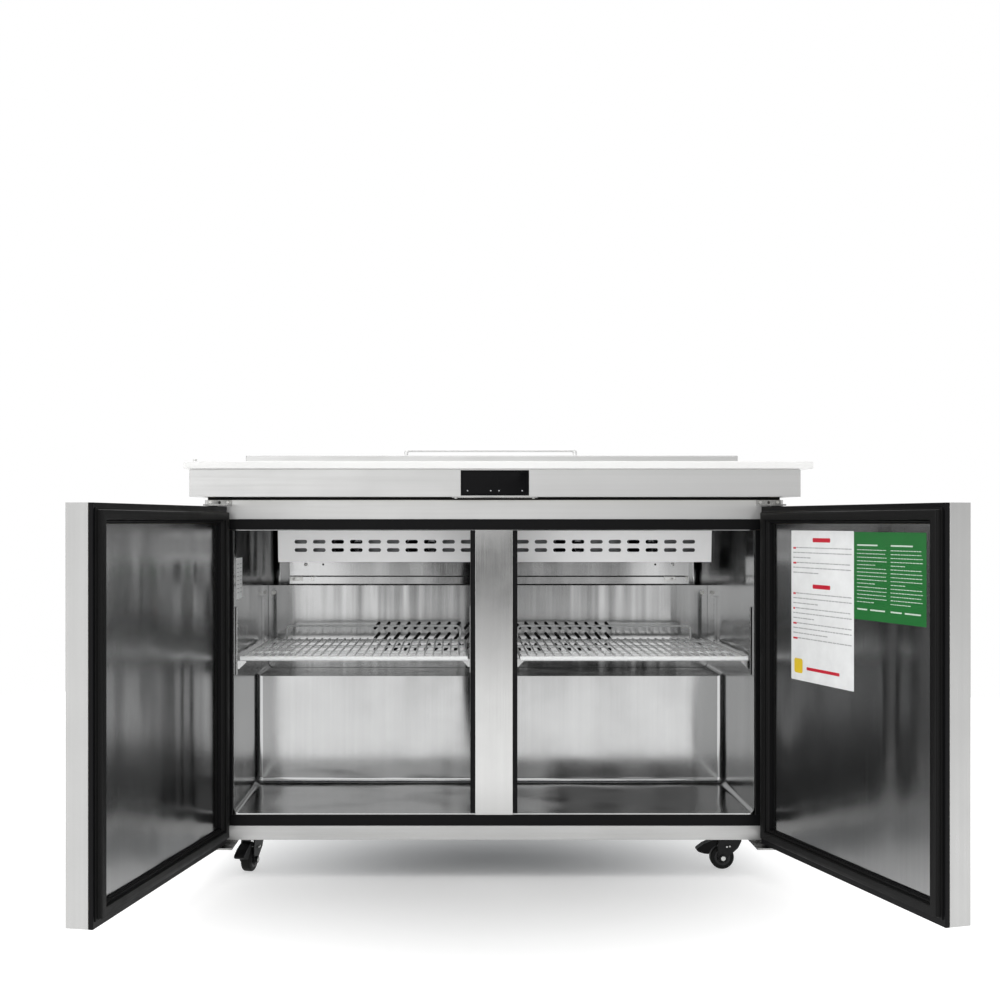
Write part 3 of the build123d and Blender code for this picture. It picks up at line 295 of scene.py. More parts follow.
def coated(name, colour, roughness, peel=900.0, depth=0.00003, coat=0.0, specks=0.05, shine=0.5):
    """Moulded plastic, rubber, paint or powder coat: fine texture, faint dust, rubbed edges."""
    made, tree, shader, place = start_material(name)
    shader.inputs["Specular IOR Level"].default_value = shine
    shader.inputs["Coat Weight"].default_value = coat
    shader.inputs["Coat Roughness"].default_value = 0.08
    skin = noise(tree, place, scale=peel, detail=2.0, roughness=0.5)
    dust = noise(tree, place, scale=24.0, detail=5.0, roughness=0.62)
    cloud = noise(tree, place, scale=3.2, detail=3.0, roughness=0.5)
    rounded, edges = edge_mask(tree, 0.0006)
    lighter = tuple(c + specks * 0.5 for c in colour)
    lightest = tuple(c + specks for c in lighter)
    body = tone(tree, cloud, scaled(colour, 1 - specks), scaled(colour, 1 + specks))
    dusty = blend_colour(tree, spread(tree, dust, 0.0, 0.22), body, lighter)
    worn = rubbed(tree, edges, 0.45, dusty, lightest)
    grime = spread(tree, dust, roughness - 0.05, roughness + 0.07)
    rough = calc(tree, "ADD", grime, spread(tree, cloud, -0.02, 0.03))
    relief = bump(tree, skin, distance=depth, strength=0.5, normal=rounded)
    finish_shader(tree, shader, worn, rough, relief)
    return made


KNIFE_TURNS = (12, -31, 78)  # degrees of the three families of scratches
KNIFE_STRETCH = (9.0, 900.0, 1.0)
KNIFE_RARITY = 0.72


def cutting_plastic(name, colour):
    """Polyethylene board with a satin face and crossing knife scratches."""
    made, tree, shader, place = start_material(name)
    shader.inputs["Subsurface Weight"].default_value = 0.15
    shader.inputs["Subsurface Radius"].default_value = (0.004, 0.004, 0.004)
    cuts = 0.0
    for turn in KNIFE_TURNS:
        line = stretched_noise(tree, place, KNIFE_STRETCH, detail=1.0, roughness=0.4, turn=turn)
        cuts = calc(tree, "ADD", cuts, calc(tree, "GREATER_THAN", line, KNIFE_RARITY), clamp=True)
    cloud = noise(tree, place, scale=5.0, detail=4.0, roughness=0.55)
    skin = noise(tree, place, scale=700.0, detail=2.0, roughness=0.5)
    rounded, edges = edge_mask(tree, 0.0012)
    body = tone(tree, cloud, scaled(colour, 0.975), colour)
    scored = blend_colour(tree, calc(tree, "MULTIPLY", cuts, 0.35), body, scaled(colour, 0.86))
    worn = rubbed(tree, edges, 0.3, scored, WHITE)
    rough = calc(tree, "ADD", spread(tree, cloud, 0.42, 0.5), calc(tree, "MULTIPLY", cuts, 0.15))
    cut_relief = bump(tree, cuts, distance=0.0002, strength=-0.4, normal=rounded)
    relief = bump(tree, skin, distance=0.00004, strength=0.4, normal=cut_relief)
    finish_shader(tree, shader, worn, rough, relief)
    return made


def finned(name, colour):
    """Stacked aluminium fins: thin upright lines with dull and bent spots."""
    made, tree, shader, place = start_material(name)
    shader.inputs["Metallic"].default_value = 1.0
    lines = stretched_noise(tree, place, (700.0, 20.0, 6.0), detail=1.0, roughness=0.3)
    dull = noise(tree, place, scale=14.0, detail=4.0, roughness=0.6)
    rounded, edges = edge_mask(tree, 0.0003)
    body = tone(tree, lines, scaled(colour, 0.7), scaled(colour, 1.1))
    hazed = blend_colour(tree, spread(tree, dull, 0.0, 0.4), body, scaled(colour, 0.65))
    worn = rubbed(tree, edges, 0.4, hazed, scaled(colour, 1.2))
    relief = bump(tree, lines, distance=0.0002, strength=0.5, normal=rounded)
    finish_shader(tree, shader, worn, spread(tree, dull, 0.32, 0.5), relief)
    return made


def plated(name, bright, aged, roughness):
    """Plated or drawn metal that has begun to dull in patches."""
    made, tree, shader, place = start_material(name)
    shader.inputs["Metallic"].default_value = 1.0
    patches = noise(tree, place, scale=38.0, detail=5.0, roughness=0.62)
    drawn = noise(tree, place, scale=520.0, detail=2.0, roughness=0.5)
    rounded, edges = edge_mask(tree, 0.0004)
    body = tone(tree, patches, aged, bright, ends=(0.35, 0.62))
    worn = rubbed(tree, edges, 0.5, body, scaled(bright, 1.15))
    dulling = spread(tree, patches, roughness + 0.12, roughness)
    rough = calc(tree, "ADD", dulling, spread(tree, drawn, -0.03, 0.03))
    relief = bump(tree, drawn, distance=0.00003, strength=0.4, normal=rounded)
    finish_shader(tree, shader, worn, rough, relief)
    return made


def printed(name, colour, roughness=0.45):
    """Printed film or ink, a little uneven in tone."""
    made, tree, shader, place = start_material(name)
    cloud = noise(tree, place, scale=30.0, detail=4.0, roughness=0.6)
    fibre = noise(tree, place, scale=1400.0, detail=2.0, roughness=0.5)
    body = tone(tree, cloud, scaled(colour, 0.93), scaled(colour, 1.03))
    rough = spread(tree, cloud, roughness - 0.05, roughness + 0.06)
    finish_shader(tree, shader, body, rough, bump(tree, fibre, distance=0.00002, strength=0.3))
    return made


FLOOR_RADIUS = 3.5
FLOOR_FADE = (0.10, 1.15)  # from here to here the floor turns from pale to lit white
FLOOR_GLOW = 1.45


def pale_floor(name):
    """A plain pale studio floor that brightens to white away from the object."""
    made, tree, shader, place = start_material(name)
    cloud = noise(tree, place, scale=1.5, detail=3.0, roughness=0.5)
    reach = add_node(tree, "VectorMath", {0: place}, operation="LENGTH").outputs["Value"]
    far = remap(tree, reach, FLOOR_FADE, interpolation_type="SMOOTHSTEP")
    near = tone(tree, cloud, grey(0.88), grey(0.90))
    rough = spread(tree, cloud, 0.55, 0.62)
    relief = bump(tree, cloud, distance=0.0004, strength=0.1)
    finish_shader(tree, shader, blend_colour(tree, far, near, BLACK), rough, relief)
    tree.links.new(far, shader.inputs["Emission Strength"])
    shader.inputs["Emission Color"].default_value = (*grey(FLOOR_GLOW), 1.0)
    shader.inputs["Specular IOR Level"].default_value = 0.0
    return made


outside_steel = steel("outside_steel", (0.54, 0.54, 0.535), 0.38, upright=False, anisotropic=0.75)
door_steel = steel("door_steel", (0.47, 0.47, 0.465), 0.32, upright=True)
panel_steel = steel("door_panel_steel", (0.38, 0.382, 0.384), 0.17, upright=True, wave=0.010)
pan_steel = steel("pan_steel", grey(0.6), 0.2, upright=False, anisotropic=0.3, edge=0.001)
liner_steel = steel(
    "liner_steel", (0.46, 0.463, 0.463), 0.13, upright=True, streaks=0.02, wave=0.006, glance=0.7
)
rubber = coated("black_rubber", grey(0.008), 0.45, peel=800.0, specks=0.006, shine=0.1)
zinc = plated("zinc", (0.74, 0.74, 0.73), (0.5, 0.5, 0.48), 0.28)
slot_materials = {
    "stainless": outside_steel,
    "stainless_inside": liner_steel,
    "galvanised": galvanised("zinc_sheet", (0.50, 0.515, 0.525)),
    "foam": coated("foam", (0.80, 0.70, 0.46), 0.85, peel=500.0, depth=0.0004, specks=0.08),
    "black_plastic": coated(
        "black_plastic", (0.004, 0.004, 0.0045), 0.4, peel=1100.0, specks=0.004, shine=0.1
    ),
    "black_gloss": coated(
        "black_gloss", (0.003, 0.003, 0.0035), 0.14, peel=60.0, depth=0.00001, specks=0.002, shine=0.08
    ),
    "black_rubber": rubber,
    "white_coating": coated(
        "white_coating", (0.80, 0.81, 0.81), 0.3, peel=420.0, depth=0.00004, coat=0.2, specks=0.03
    ),
    "white_poly": cutting_plastic("cutting_board_plastic", (0.83, 0.83, 0.82)),
    "fins": finned("fins", (0.72, 0.73, 0.74)),
    "zinc": zinc,
    "black_paint": coated(
        "black_paint", (0.006, 0.006, 0.0065), 0.3, peel=260.0, specks=0.006, shine=0.2
    ),
    "copper": plated("copper", (0.83, 0.44, 0.28), (0.42, 0.22, 0.14), 0.24),
}
special_materials = {
    # painted shade: the hinge brackets' plating is darkened for the shade they sit in under the fascia
    "brackets": plated("bracket_plating", (0.40, 0.40, 0.39), (0.20, 0.20, 0.195), 0.22),
    "mullion_cover": steel(
        "mullion_steel", (0.52, 0.52, 0.515), 0.12, upright=True, streaks=0.02, wave=0.0005
    ),
    "left_door_skin": door_steel,
    "right_door_skin": door_steel,
    "left_door_inner_panel": panel_steel,
    "right_door_inner_panel": panel_steel,
    "duct_panel": steel(
        "duct_steel", (0.47, 0.473, 0.473), 0.13, upright=True,
        streaks=0.02, wave=0.0008, glance=0.7, ripples=38.0,
    ),
    "evaporator_cover": coated(
        "cover_coating", grey(0.94), 0.34, peel=420.0, depth=0.00004, specks=0.02
    ),
    # painted shade: the coil's fins are a darker grey than bare fins, for the shade inside the evaporator housing
    "evaporator_coil": finned("coil_fins", (0.36, 0.365, 0.37)),
    "lid_handle": steel("handle_steel", (0.95, 0.95, 0.945), 0.45, upright=False, streaks=0.02),
    # painted light: the lid's steel is a lighter copy of the outside steel, for the brighter light on it
    "lid_panel": steel("lid_steel", (0.62, 0.62, 0.615), 0.38, upright=False, anisotropic=0.75),
    "food_pans": pan_steel,
    "pan_well": pan_steel,
}
# the fans' mounting plates are real, but their zinc is darkened as painted shade behind the evaporator cover
painted_shade_plate = galvanised("fan_plate_sheet", (0.26, 0.265, 0.27))
white_film = printed("white_film", (0.88, 0.89, 0.89))
grey_ink = printed("grey_ink", (0.40, 0.40, 0.41))
red_ink = printed("red_ink", (0.60, 0.012, 0.035))
yellow_ink = printed("yellow_ink", (0.85, 0.60, 0.03))
green_film = printed("green_film", (0.012, 0.155, 0.03))
pale_ink = printed("pale_ink", (0.62, 0.72, 0.63))
smoked_glass = coated(
    "smoked_glass", (0.0035, 0.0035, 0.004), 0.08, peel=40.0, depth=0.00001, specks=0.002, shine=0.09
)
pale_dot = coated("pale_dot", (0.42, 0.43, 0.45), 0.35, specks=0.04)
# the bracket screws are real parts, painted dark grey for the shade in their holes
dark_screw = plated("dark_screw", grey(0.16), grey(0.08), 0.3)
tread_rubber = coated(
    "tread_rubber", grey(0.008), 0.5, peel=500.0, depth=0.00005, specks=0.006, shine=0.2
)
hub_plastic = coated("hub_plastic", (0.012, 0.012, 0.013), 0.35, specks=0.01, shine=0.3)


def dress(node, material):
    """Gives a CAD node its finished material."""
    mesh = nodes[node].data
    mesh.materials.clear()
    mesh.materials.append(material)


for subpart in frame["record"]["subparts"]:
    part_node = subpart["node"]
    dress(part_node, special_materials.get(part_node, slot_materials[subpart["material_slot"]]))

# ---------------------------------------------------------------- mesh helpers
CORNER_STEPS = 5
RIM_CHAMFER = 0.25  # of a slab's thickness
SLAB_CORNER_LEFT = 0.3  # of a slab's corner radius, at least, on its chamfered rim
SCREW_RINGS, SCREW_SEGMENTS = 8, 32
DOME_HEIGHT, DOME_CURVE = 0.55, 0.82
RECESS_REACH, RECESS_WIDTH, RECESS_DEPTH = 0.62, 0.13, 0.55


def build(name, body, materials, draw, smooth=None):
    """A named piece: draw(bm) makes its mesh, it gets its materials and rides on its body."""
    bm = bmesh.new()
    draw(bm)
    bmesh.ops.recalc_face_normals(bm, faces=bm.faces)
    mesh = bpy.data.meshes.new(name)
    bm.to_mesh(mesh)
    bm.free()
    for material in materials:
        mesh.materials.append(material)
    piece = bpy.data.objects.new(name, mesh)
    bpy.context.scene.collection.objects.link(piece)
    if smooth:
        mesh.shade_smooth()
        mesh.set_sharp_from_angle(angle=math.radians(smooth))
    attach(piece, body)
    return piece


def in_mm(*pairs):
    """Pairs of sizes given in mm."""
    return [(first * MM, second * MM) for first, second in pairs]


def turns(segments):
    """Equal steps round a circle."""
    return [2 * math.pi * i / segments for i in range(segments)]


def axes(axis):
    """The unit vector along an axis, and two more across it."""
    axis = Vector(axis).normalized()
    side = axis.orthogonal().normalized()
    return axis, side, axis.cross(side)


def rounded_outline(width, height, radius):
    """Points of a rectangle with round corners, about its middle, counterclockwise."""
    points = []
    for quarter, (sx, sy) in enumerate(((1, 1), (-1, 1), (-1, -1), (1, -1))):
        centre = (sx * (width / 2 - radius), sy * (height / 2 - radius))
        for step in range(CORNER_STEPS + 1):
            angle = math.radians(90 * (quarter + step / CORNER_STEPS))
            points.append((centre[0] + radius * math.cos(angle), centre[1] + radius * math.sin(angle)))
    return points


def slab(bm, centre, right, size, thickness, radius, index=0, up=UP):
    """A thin rounded plate that stands proud of a face, its rim chamfered."""
    centre, right, up = Vector(centre), Vector(right).normalized(), Vector(up).normalized()
    out = right.cross(up)
    rings = []
    edge = thickness * RIM_CHAMFER
    for height, inset in ((0.0, 0.0), (thickness - edge, 0.0), (thickness, edge)):
        corner = max(radius - inset, radius * SLAB_CORNER_LEFT)
        outline = rounded_outline(size[0] - 2 * inset, size[1] - 2 * inset, corner)
        rings.append([bm.verts.new(centre + right * x + up * y + out * height) for x, y in outline])
    count = len(rings[0])
    faces = [bm.faces.new(rings[-1]), bm.faces.new(list(reversed(rings[0])))]
    for low, high in zip(rings, rings[1:]):
        for i in range(count):
            j = (i + 1) % count
            faces.append(bm.faces.new((low[i], low[j], high[j], high[i])))
    for face in faces:
        face.material_index = index


def turned(bm, centre, axis, profile, segments, index=0):
    """A turned shape whose profile holds (radius, height) pairs along its axis."""
    axis, side, other = axes(axis)
    rings = []
    for radius, height in profile:
        base = Vector(centre) + axis * height
        if radius == 0:
            rings.append([bm.verts.new(base)])
            continue
        spokes = (side * math.cos(a) + other * math.sin(a) for a in turns(segments))
        rings.append([bm.verts.new(base + spoke * radius) for spoke in spokes])
    for low, high in zip(rings, rings[1:]):
        for i in range(segments):
            j = (i + 1) % segments
            corners = [low[i % len(low)], low[j % len(low)], high[j % len(high)], high[i % len(high)]]
            face = bm.faces.new(list(dict.fromkeys(corners)))
            face.material_index = index


def screw(bm, centre, axis, radius):
    """A domed screw head with a cross recess, standing on a face."""
    centre = Vector(centre)
    axis, side, other = axes(axis)
    height = radius * DOME_HEIGHT

    def point(reach, turn):
        x, y = reach * math.cos(turn), reach * math.sin(turn)
        rise = height * math.sqrt(max(0.0, 1 - DOME_CURVE * (reach / radius) ** 2))
        if reach < radius * RECESS_REACH and min(abs(x), abs(y)) < radius * RECESS_WIDTH:
            rise -= height * RECESS_DEPTH
        return centre + side * x + other * y + axis * rise

    middle = bm.verts.new(point(0, 0))
    circle = turns(SCREW_SEGMENTS)
    rows = [
        [bm.verts.new(point(radius * k / SCREW_RINGS, a)) for a in circle]
        for k in range(1, SCREW_RINGS + 1)
    ]
    rim = [centre + (side * math.cos(a) + other * math.sin(a)) * radius for a in circle]
    rows.append([bm.verts.new(place) for place in rim])
    for i in range(SCREW_SEGMENTS):
        bm.faces.new((middle, rows[0][i], rows[0][(i + 1) % SCREW_SEGMENTS]))
    for low, high in zip(rows, rows[1:]):
        for i in range(SCREW_SEGMENTS):
            j = (i + 1) % SCREW_SEGMENTS
            bm.faces.new((low[i], high[i], high[j], low[j]))
    bm.faces.new(list(reversed(rows[-1])))


def span(node, direction, origin=(0, 0, 0)):
    """How far a CAD node reaches along a direction, least and most, measured from origin."""
    direction, origin = Vector(direction), Vector(origin)
    reach = [(vertex.co - origin).dot(direction) for vertex in nodes[node].data.vertices]
    return min(reach), max(reach)


# ---------------------------------------------------------------- floor and studio
floor_mesh = bpy.data.meshes.new("floor")
floor_bm = bmesh.new()
bmesh.ops.create_circle(floor_bm, cap_ends=True, segments=96, radius=FLOOR_RADIUS)
floor_bm.to_mesh(floor_mesh)
floor_bm.free()
floor_mesh.materials.append(pale_floor("pale_floor"))
floor = bpy.data.objects.new("floor", floor_mesh)
bpy.context.scene.collection.objects.link(floor)

# brightness of the studio from the horizon to straight overhead
STUDIO = (
    (0.0, 1.40), (0.05, 1.25), (0.12, 0.65), (0.22, 0.36), (0.40, 0.5), (0.62, 1.08), (1.0, 1.08),
)
LEFT_TO_RIGHT, SIDE_TONES = (-0.6, 0.6), (1.08, 0.86)
# the dim patch where the photographer stands
PHOTOGRAPHER = (0.03, -1.0, 0.06)
PATCH_EDGE, PATCH_TONES = (0.987, 0.998), (1.0, 0.05)

world = bpy.data.worlds.new("studio")
world.use_nodes = True
bpy.context.scene.world = world
sky = world.node_tree
sky.nodes.clear()
heading = add_node(sky, "TexCoord").outputs["Generated"]
parts = add_node(sky, "SeparateXYZ", {0: heading})
brightness = colours_along(sky, parts.outputs[2], [(place, grey(value)) for place, value in STUDIO])
sideways = remap(sky, parts.outputs[0], LEFT_TO_RIGHT, SIDE_TONES)
towards = add_node(sky, "VectorMath", {0: heading, 1: PHOTOGRAPHER}, operation="DOT_PRODUCT")
dimmed = remap(sky, towards.outputs["Value"], PATCH_EDGE, PATCH_TONES)
factor = calc(sky, "MULTIPLY", sideways, dimmed)
lit = add_node(sky, "Mix", {0: 1.0, 6: brightness, 7: factor}, data_type="RGBA", blend_type="MULTIPLY")
from_camera = add_node(sky, "LightPath").outputs["Is Camera Ray"]
seen = blend_colour(sky, from_camera, lit.outputs[2], WHITE)
backdrop = add_node(sky, "Background", {"Color": seen, "Strength": 1.0})
add_node(sky, "OutputWorld", {"Surface": backdrop.outputs[0]})

# ---------------------------------------------------------------- doors: gaskets and notices
# the profile of a magnetic gasket, in mm: in from its outer rim, and up from its base
GASKET_PROFILE = (
    (0, 0), (0, 1.6), (2.2, 2.3), (3.8, 3.3), (2.9, 4.5), (4.2, 5.6), (3.3, 6.8), (4.4, 8.0),
    (3.6, 9.4), (4.3, 10.8), (5.6, 11.45), (11.5, 11.5), (17.6, 11.45), (19.0, 10.8), (19.6, 9.5),
    (18.4, 8.3), (17.9, 6.5), (18.4, 4.6), (19.8, 3.3), (20.8, 2.7), (20.9, 4.1), (21.8, 4.8),
    (22.8, 4.1), (23.1, 2.2), (24, 1.2), (24, 0),
)
FILM = 0.18 * MM
SHEET_CORNER = 1.5 * MM
INK_SINK, INK_HEIGHT = 0.9, 0.4  # of the film's thickness
INK_CORNER = 0.3  # of a bar's height
WORD_GAP = 1.3 * MM


class Door:
    """Places on one open door: along runs to the free edge, out stands off its inner face."""

    def __init__(self, name):
        self.name = name
        panel = f"{name}_door_inner_panel"
        face = max(nodes[panel].data.polygons, key=lambda polygon: polygon.area)
        inwards = 1 if name == "left" else -1
        self.out = face.normal * (1 if face.normal.x * inwards > 0 else -1)
        self.along = Vector((self.out.y, -self.out.x, 0)) * inwards
        pivot = joints[f"{name}_door_hinge"]["pos_m"]
        self.pivot = Vector((pivot[0], pivot[1], 0))
        self.face = span(panel, self.out, self.pivot)[1]

    def at(self, along, off, z):
        """A point so far from the hinge, off the hinge's plane, and up."""
        return self.pivot + self.along * along + self.out * off + UP * z


def make_gasket(door):
    """The ribbed gasket of a door, mitred at its corners."""
    node = f"{door.name}_door_gasket"
    left, right = span(node, door.along, door.pivot)
    base, crest = span(node, door.out, door.pivot)
    low, high = span(node, UP)
    grow = (crest - base) / max(height for _, height in GASKET_PROFILE)
    corners = ((left, low, 1, 1), (right, low, -1, 1), (right, high, -1, -1), (left, high, 1, -1))

    def draw(bm):
        loops = []
        for inset, height in GASKET_PROFILE:
            edge, off = inset * MM, base + height * grow
            places = [door.at(x + sx * edge, off, z + sz * edge) for x, z, sx, sz in corners]
            loops.append([bm.verts.new(place) for place in places])
        for inner, outer in zip(loops, loops[1:] + loops[:1]):
            for i in range(4):
                j = (i + 1) % 4
                bm.faces.new((inner[i], inner[j], outer[j], outer[i]))

    ribbed = f"{door.name}_ribbed_gasket"
    gasket = build(ribbed, f"{door.name}_door", [rubber], draw, smooth=50)
    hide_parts(node)


def dashes_along(rng, width, words):
    """Places and widths of the dashes that stand for one line of small print."""
    place, dashes = 0.0, []
    while place < width - words[0]:
        dash = min(rng.uniform(*words), width - place)
        dashes.append((place, dash))
        place += dash + WORD_GAP
    return dashes


def notice(name, door, lower, size, paper, inks, fill):
    """A blank printed sheet on the right door, whose bars fill(ink) lays from its upper left."""
    right = door.along
    corner = door.at(lower[0], door.face, lower[1] + size[1])

    def draw(bm):
        slab(bm, corner + right * size[0] / 2 - UP * size[1] / 2, right, size, FILM, SHEET_CORNER)

        def ink(x, y, width, height, index, radius=None):
            place = corner + right * (x + width / 2) - UP * (y + height / 2)
            place += right.cross(UP) * FILM * INK_SINK
            rounding = radius or height * INK_CORNER
            slab(bm, place, right, (width, height), FILM * INK_HEIGHT, rounding, index)

        fill(ink)

    build(name, f"{door.name}_door", [paper, *inks], draw)


GREY_INK, RED_INK, YELLOW_INK = 1, 2, 3
# each sheet's lower corner, from the hinge and from the ground, then its width and height
WHITE_PLACE, WHITE_SIZE = (90 * MM, 425.5 * MM), (213 * MM, 289 * MM)
WHITE_MARGIN = 7 * MM
HEADING, HEADING_CORNER, HEADING_STEP = (60 * MM, 8 * MM), 2 * MM, 18 * MM
BLOCKS = ((14 * MM, 6), (102 * MM, 10))  # top of each heading, and the rows under it
WHITE_LINE, WHITE_PITCH, WHITE_WORDS = 1.8 * MM, 9.6 * MM, (6 * MM, 18 * MM)
PARAGRAPH, SHORT_ROW = 3, (0.3, 0.6)  # rows, the last of them a share of the sheet's width
FOOT_RISE = 42 * MM
PATCH_X, PATCH, PATCH_CORNER = 4 * MM, (30 * MM, 28 * MM), 5 * MM
BAR_X, BAR_DROP, BAR, BAR_CORNER = 48 * MM, 14 * MM, (112 * MM, 6 * MM), 1.5 * MM


def fill_white_sheet(ink):
    """Two red bars over rows of grey dashes, and a yellow patch and a red bar at the foot."""
    rng = random.Random(7)
    width, height = WHITE_SIZE
    for top, rows in BLOCKS:
        ink((width - HEADING[0]) / 2, top, *HEADING, RED_INK, HEADING_CORNER)
        for row in range(rows):
            short = row % PARAGRAPH == PARAGRAPH - 1
            reach = rng.uniform(*SHORT_ROW) * width if short else width - 2 * WHITE_MARGIN
            y = top + HEADING_STEP + row * WHITE_PITCH
            for number, (x, dash) in enumerate(dashes_along(rng, reach, WHITE_WORDS)):
                red = number == 0 and row % PARAGRAPH == 0
                thick, colour = (2 * WHITE_LINE, RED_INK) if red else (WHITE_LINE, GREY_INK)
                ink(WHITE_MARGIN + x, y, dash, thick, colour)
    foot = height - FOOT_RISE
    ink(WHITE_MARGIN + PATCH_X, foot, *PATCH, YELLOW_INK, PATCH_CORNER)
    ink(WHITE_MARGIN + BAR_X, foot + BAR_DROP, *BAR, RED_INK, BAR_CORNER)


PALE_INK = 1
GREEN_PLACE, GREEN_SIZE = (303.5 * MM, 557 * MM), (208.5 * MM, 156 * MM)
GREEN_COLUMNS = (10 * MM, GREEN_SIZE[0] / 2 + 6 * MM)
GREEN_COLUMN_GAP = 16 * MM
GREEN_HEADING, GREEN_HEADING_TOP, GREEN_FOOT_TOP = 2.6 * MM, 22 * MM, 136 * MM
GREEN_ROWS, GREEN_TOP, GREEN_PITCH = 15, 31 * MM, 6.6 * MM
GREEN_LINE, GREEN_WORDS = 1.3 * MM, (3 * MM, 9 * MM)
GREEN_PARAGRAPH, GREEN_SHORT_ROW = 5, (0.3, 0.7)  # the last row a share of its column
GREEN_OVER, GREEN_UNDER = 0.7, ((0.0, 0.35), (0.45, 0.5))  # bars, in shares of the column


def fill_green_sheet(ink):
    """Two columns of thin pale dashes, with thicker bars over and under them."""
    rng = random.Random(11)
    column = GREEN_SIZE[0] / 2 - GREEN_COLUMN_GAP
    for left in GREEN_COLUMNS:
        ink(left, GREEN_HEADING_TOP, column * GREEN_OVER, GREEN_HEADING, PALE_INK)
        for row in range(GREEN_ROWS):
            short = row % GREEN_PARAGRAPH == GREEN_PARAGRAPH - 1
            reach = column * rng.uniform(*GREEN_SHORT_ROW) if short else column
            for x, dash in dashes_along(rng, reach, GREEN_WORDS):
                ink(left + x, GREEN_TOP + row * GREEN_PITCH, dash, GREEN_LINE, PALE_INK)
        for place, width in GREEN_UNDER:
            ink(left + column * place, GREEN_FOOT_TOP, column * width, GREEN_HEADING, PALE_INK)


doors = {name: Door(name) for name in ("left", "right")}
for each_door in doors.values():
    make_gasket(each_door)
white_inks = [grey_ink, red_ink, yellow_ink]
notice("white_notice", doors["right"], WHITE_PLACE, WHITE_SIZE, white_film, white_inks, fill_white_sheet)
notice("green_notice", doors["right"], GREEN_PLACE, GREEN_SIZE, green_film, [pale_ink], fill_green_sheet)

# ---------------------------------------------------------------- rating label inside the cabinet
PRINT_BAR, PRINT_CORNER, PRINT_INK = 1.6 * MM, 0.5 * MM, 1
LABEL_Y, LABEL_Z, LABEL_SIZE = 68 * MM, 613 * MM, (76 * MM, 86 * MM)
LABEL_FILM, LABEL_FACE, LABEL_CORNER, LABEL_INK = 0.15 * MM, 0.14 * MM, 2 * MM, 0.06 * MM
LABEL_ROWS = [(30 - 8.5 * row) * MM for row in range(8)]
LABEL_COLUMNS = in_mm((-16, 28), (19, 22))

wall_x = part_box("shelf_pilasters")[0].x


def print_rows(bm, middle, right, rows, columns, thickness):
    """Bars at some heights, in columns of (place, width), about the middle of a label."""
    for height in rows:
        for place, width in columns:
            spot = middle + right * place + UP * height
            slab(bm, spot, right, (width, PRINT_BAR), thickness, PRINT_CORNER, PRINT_INK)


def draw_rating_label(bm):
    """A blank label on the left wall, with two columns of bars."""
    middle = Vector((wall_x, LABEL_Y, LABEL_Z))
    slab(bm, middle, BACKWARDS, LABEL_SIZE, LABEL_FILM, LABEL_CORNER)
    face = middle + ACROSS * LABEL_FACE
    print_rows(bm, face, BACKWARDS, LABEL_ROWS, LABEL_COLUMNS, LABEL_INK)


build("rating_label", "cabinet", [white_film, grey_ink], draw_rating_label)

# ---------------------------------------------------------------- controller face
GLASS_SHARE, GLASS_DEPTH, GLASS_CORNER, GLASS_SINK = (0.93, 0.84), 0.4 * MM, 3 * MM, 0.05 * MM
WINDOW_SHARE, WINDOW_DEPTH, WINDOW_CORNER = (0.40, 0.52), 0.15 * MM, 2 * MM
WINDOW_PLACES, WINDOW_RISE, WINDOW_FACE = (-0.235, 0.235), 2 * MM, 0.3 * MM
DOT_PLACES, DOT_DROP, DOT_FACE, DOT_SEGMENTS = (-0.40, -0.06, 0.06, 0.40), 0.31, 0.25 * MM, 20
DOT_PROFILE = in_mm((0, 0), (1.3, 0), (1.3, 0.12), (0.9, 0.2), (0, 0.2))
DOT_INK = 1

panel_low, panel_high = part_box("controller")


def draw_controller_face(bm):
    """A smoked glass with two windows and four pale dots, on the controller's front."""
    width, height = panel_high.x - panel_low.x, panel_high.z - panel_low.z
    x, y, z = (panel_low.x + panel_high.x) / 2, panel_low.y, (panel_low.z + panel_high.z) / 2
    glass = (width * GLASS_SHARE[0], height * GLASS_SHARE[1])
    slab(bm, (x, y + GLASS_SINK, z), ACROSS, glass, GLASS_DEPTH, GLASS_CORNER)
    window = (width * WINDOW_SHARE[0], height * WINDOW_SHARE[1])
    for place in WINDOW_PLACES:
        spot = (x + place * width, y - WINDOW_FACE, z + WINDOW_RISE)
        slab(bm, spot, ACROSS, window, WINDOW_DEPTH, WINDOW_CORNER)
    for place in DOT_PLACES:
        spot = (x + place * width, y - DOT_FACE, z - height * DOT_DROP)
        turned(bm, spot, -BACKWARDS, DOT_PROFILE, DOT_SEGMENTS, DOT_INK)


glass_and_dots = [smoked_glass, pale_dot]
build("controller_face", "cabinet", glass_and_dots, draw_controller_face, smooth=35)

# ---------------------------------------------------------------- plugs in the mullion's flanks
PLUG_HEIGHTS = (663 * MM, 424 * MM, 182 * MM)
PLUG_PROFILE, PLUG_SEGMENTS, PLUG_SINK = (
    in_mm((0, 0), (3.6, 0), (3.6, 0.05), (2.6, 0.18), (0, 0.19)), 24, 0.02 * MM
)

post_low, post_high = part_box("mullion_post")
cover_low, cover_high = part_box("mullion_cover")


def draw_plugs(bm):
    """Three plugs up each flank of the mullion."""
    for z in PLUG_HEIGHTS:
        for edge, rim in ((post_low.x, cover_low.x), (post_high.x, cover_high.x)):
            spot = ((edge + rim) / 2, post_low.y + PLUG_SINK, z)
            turned(bm, spot, -BACKWARDS, PLUG_PROFILE, PLUG_SEGMENTS)


build("mullion_plugs", "cabinet", [rubber], draw_plugs, smooth=40)

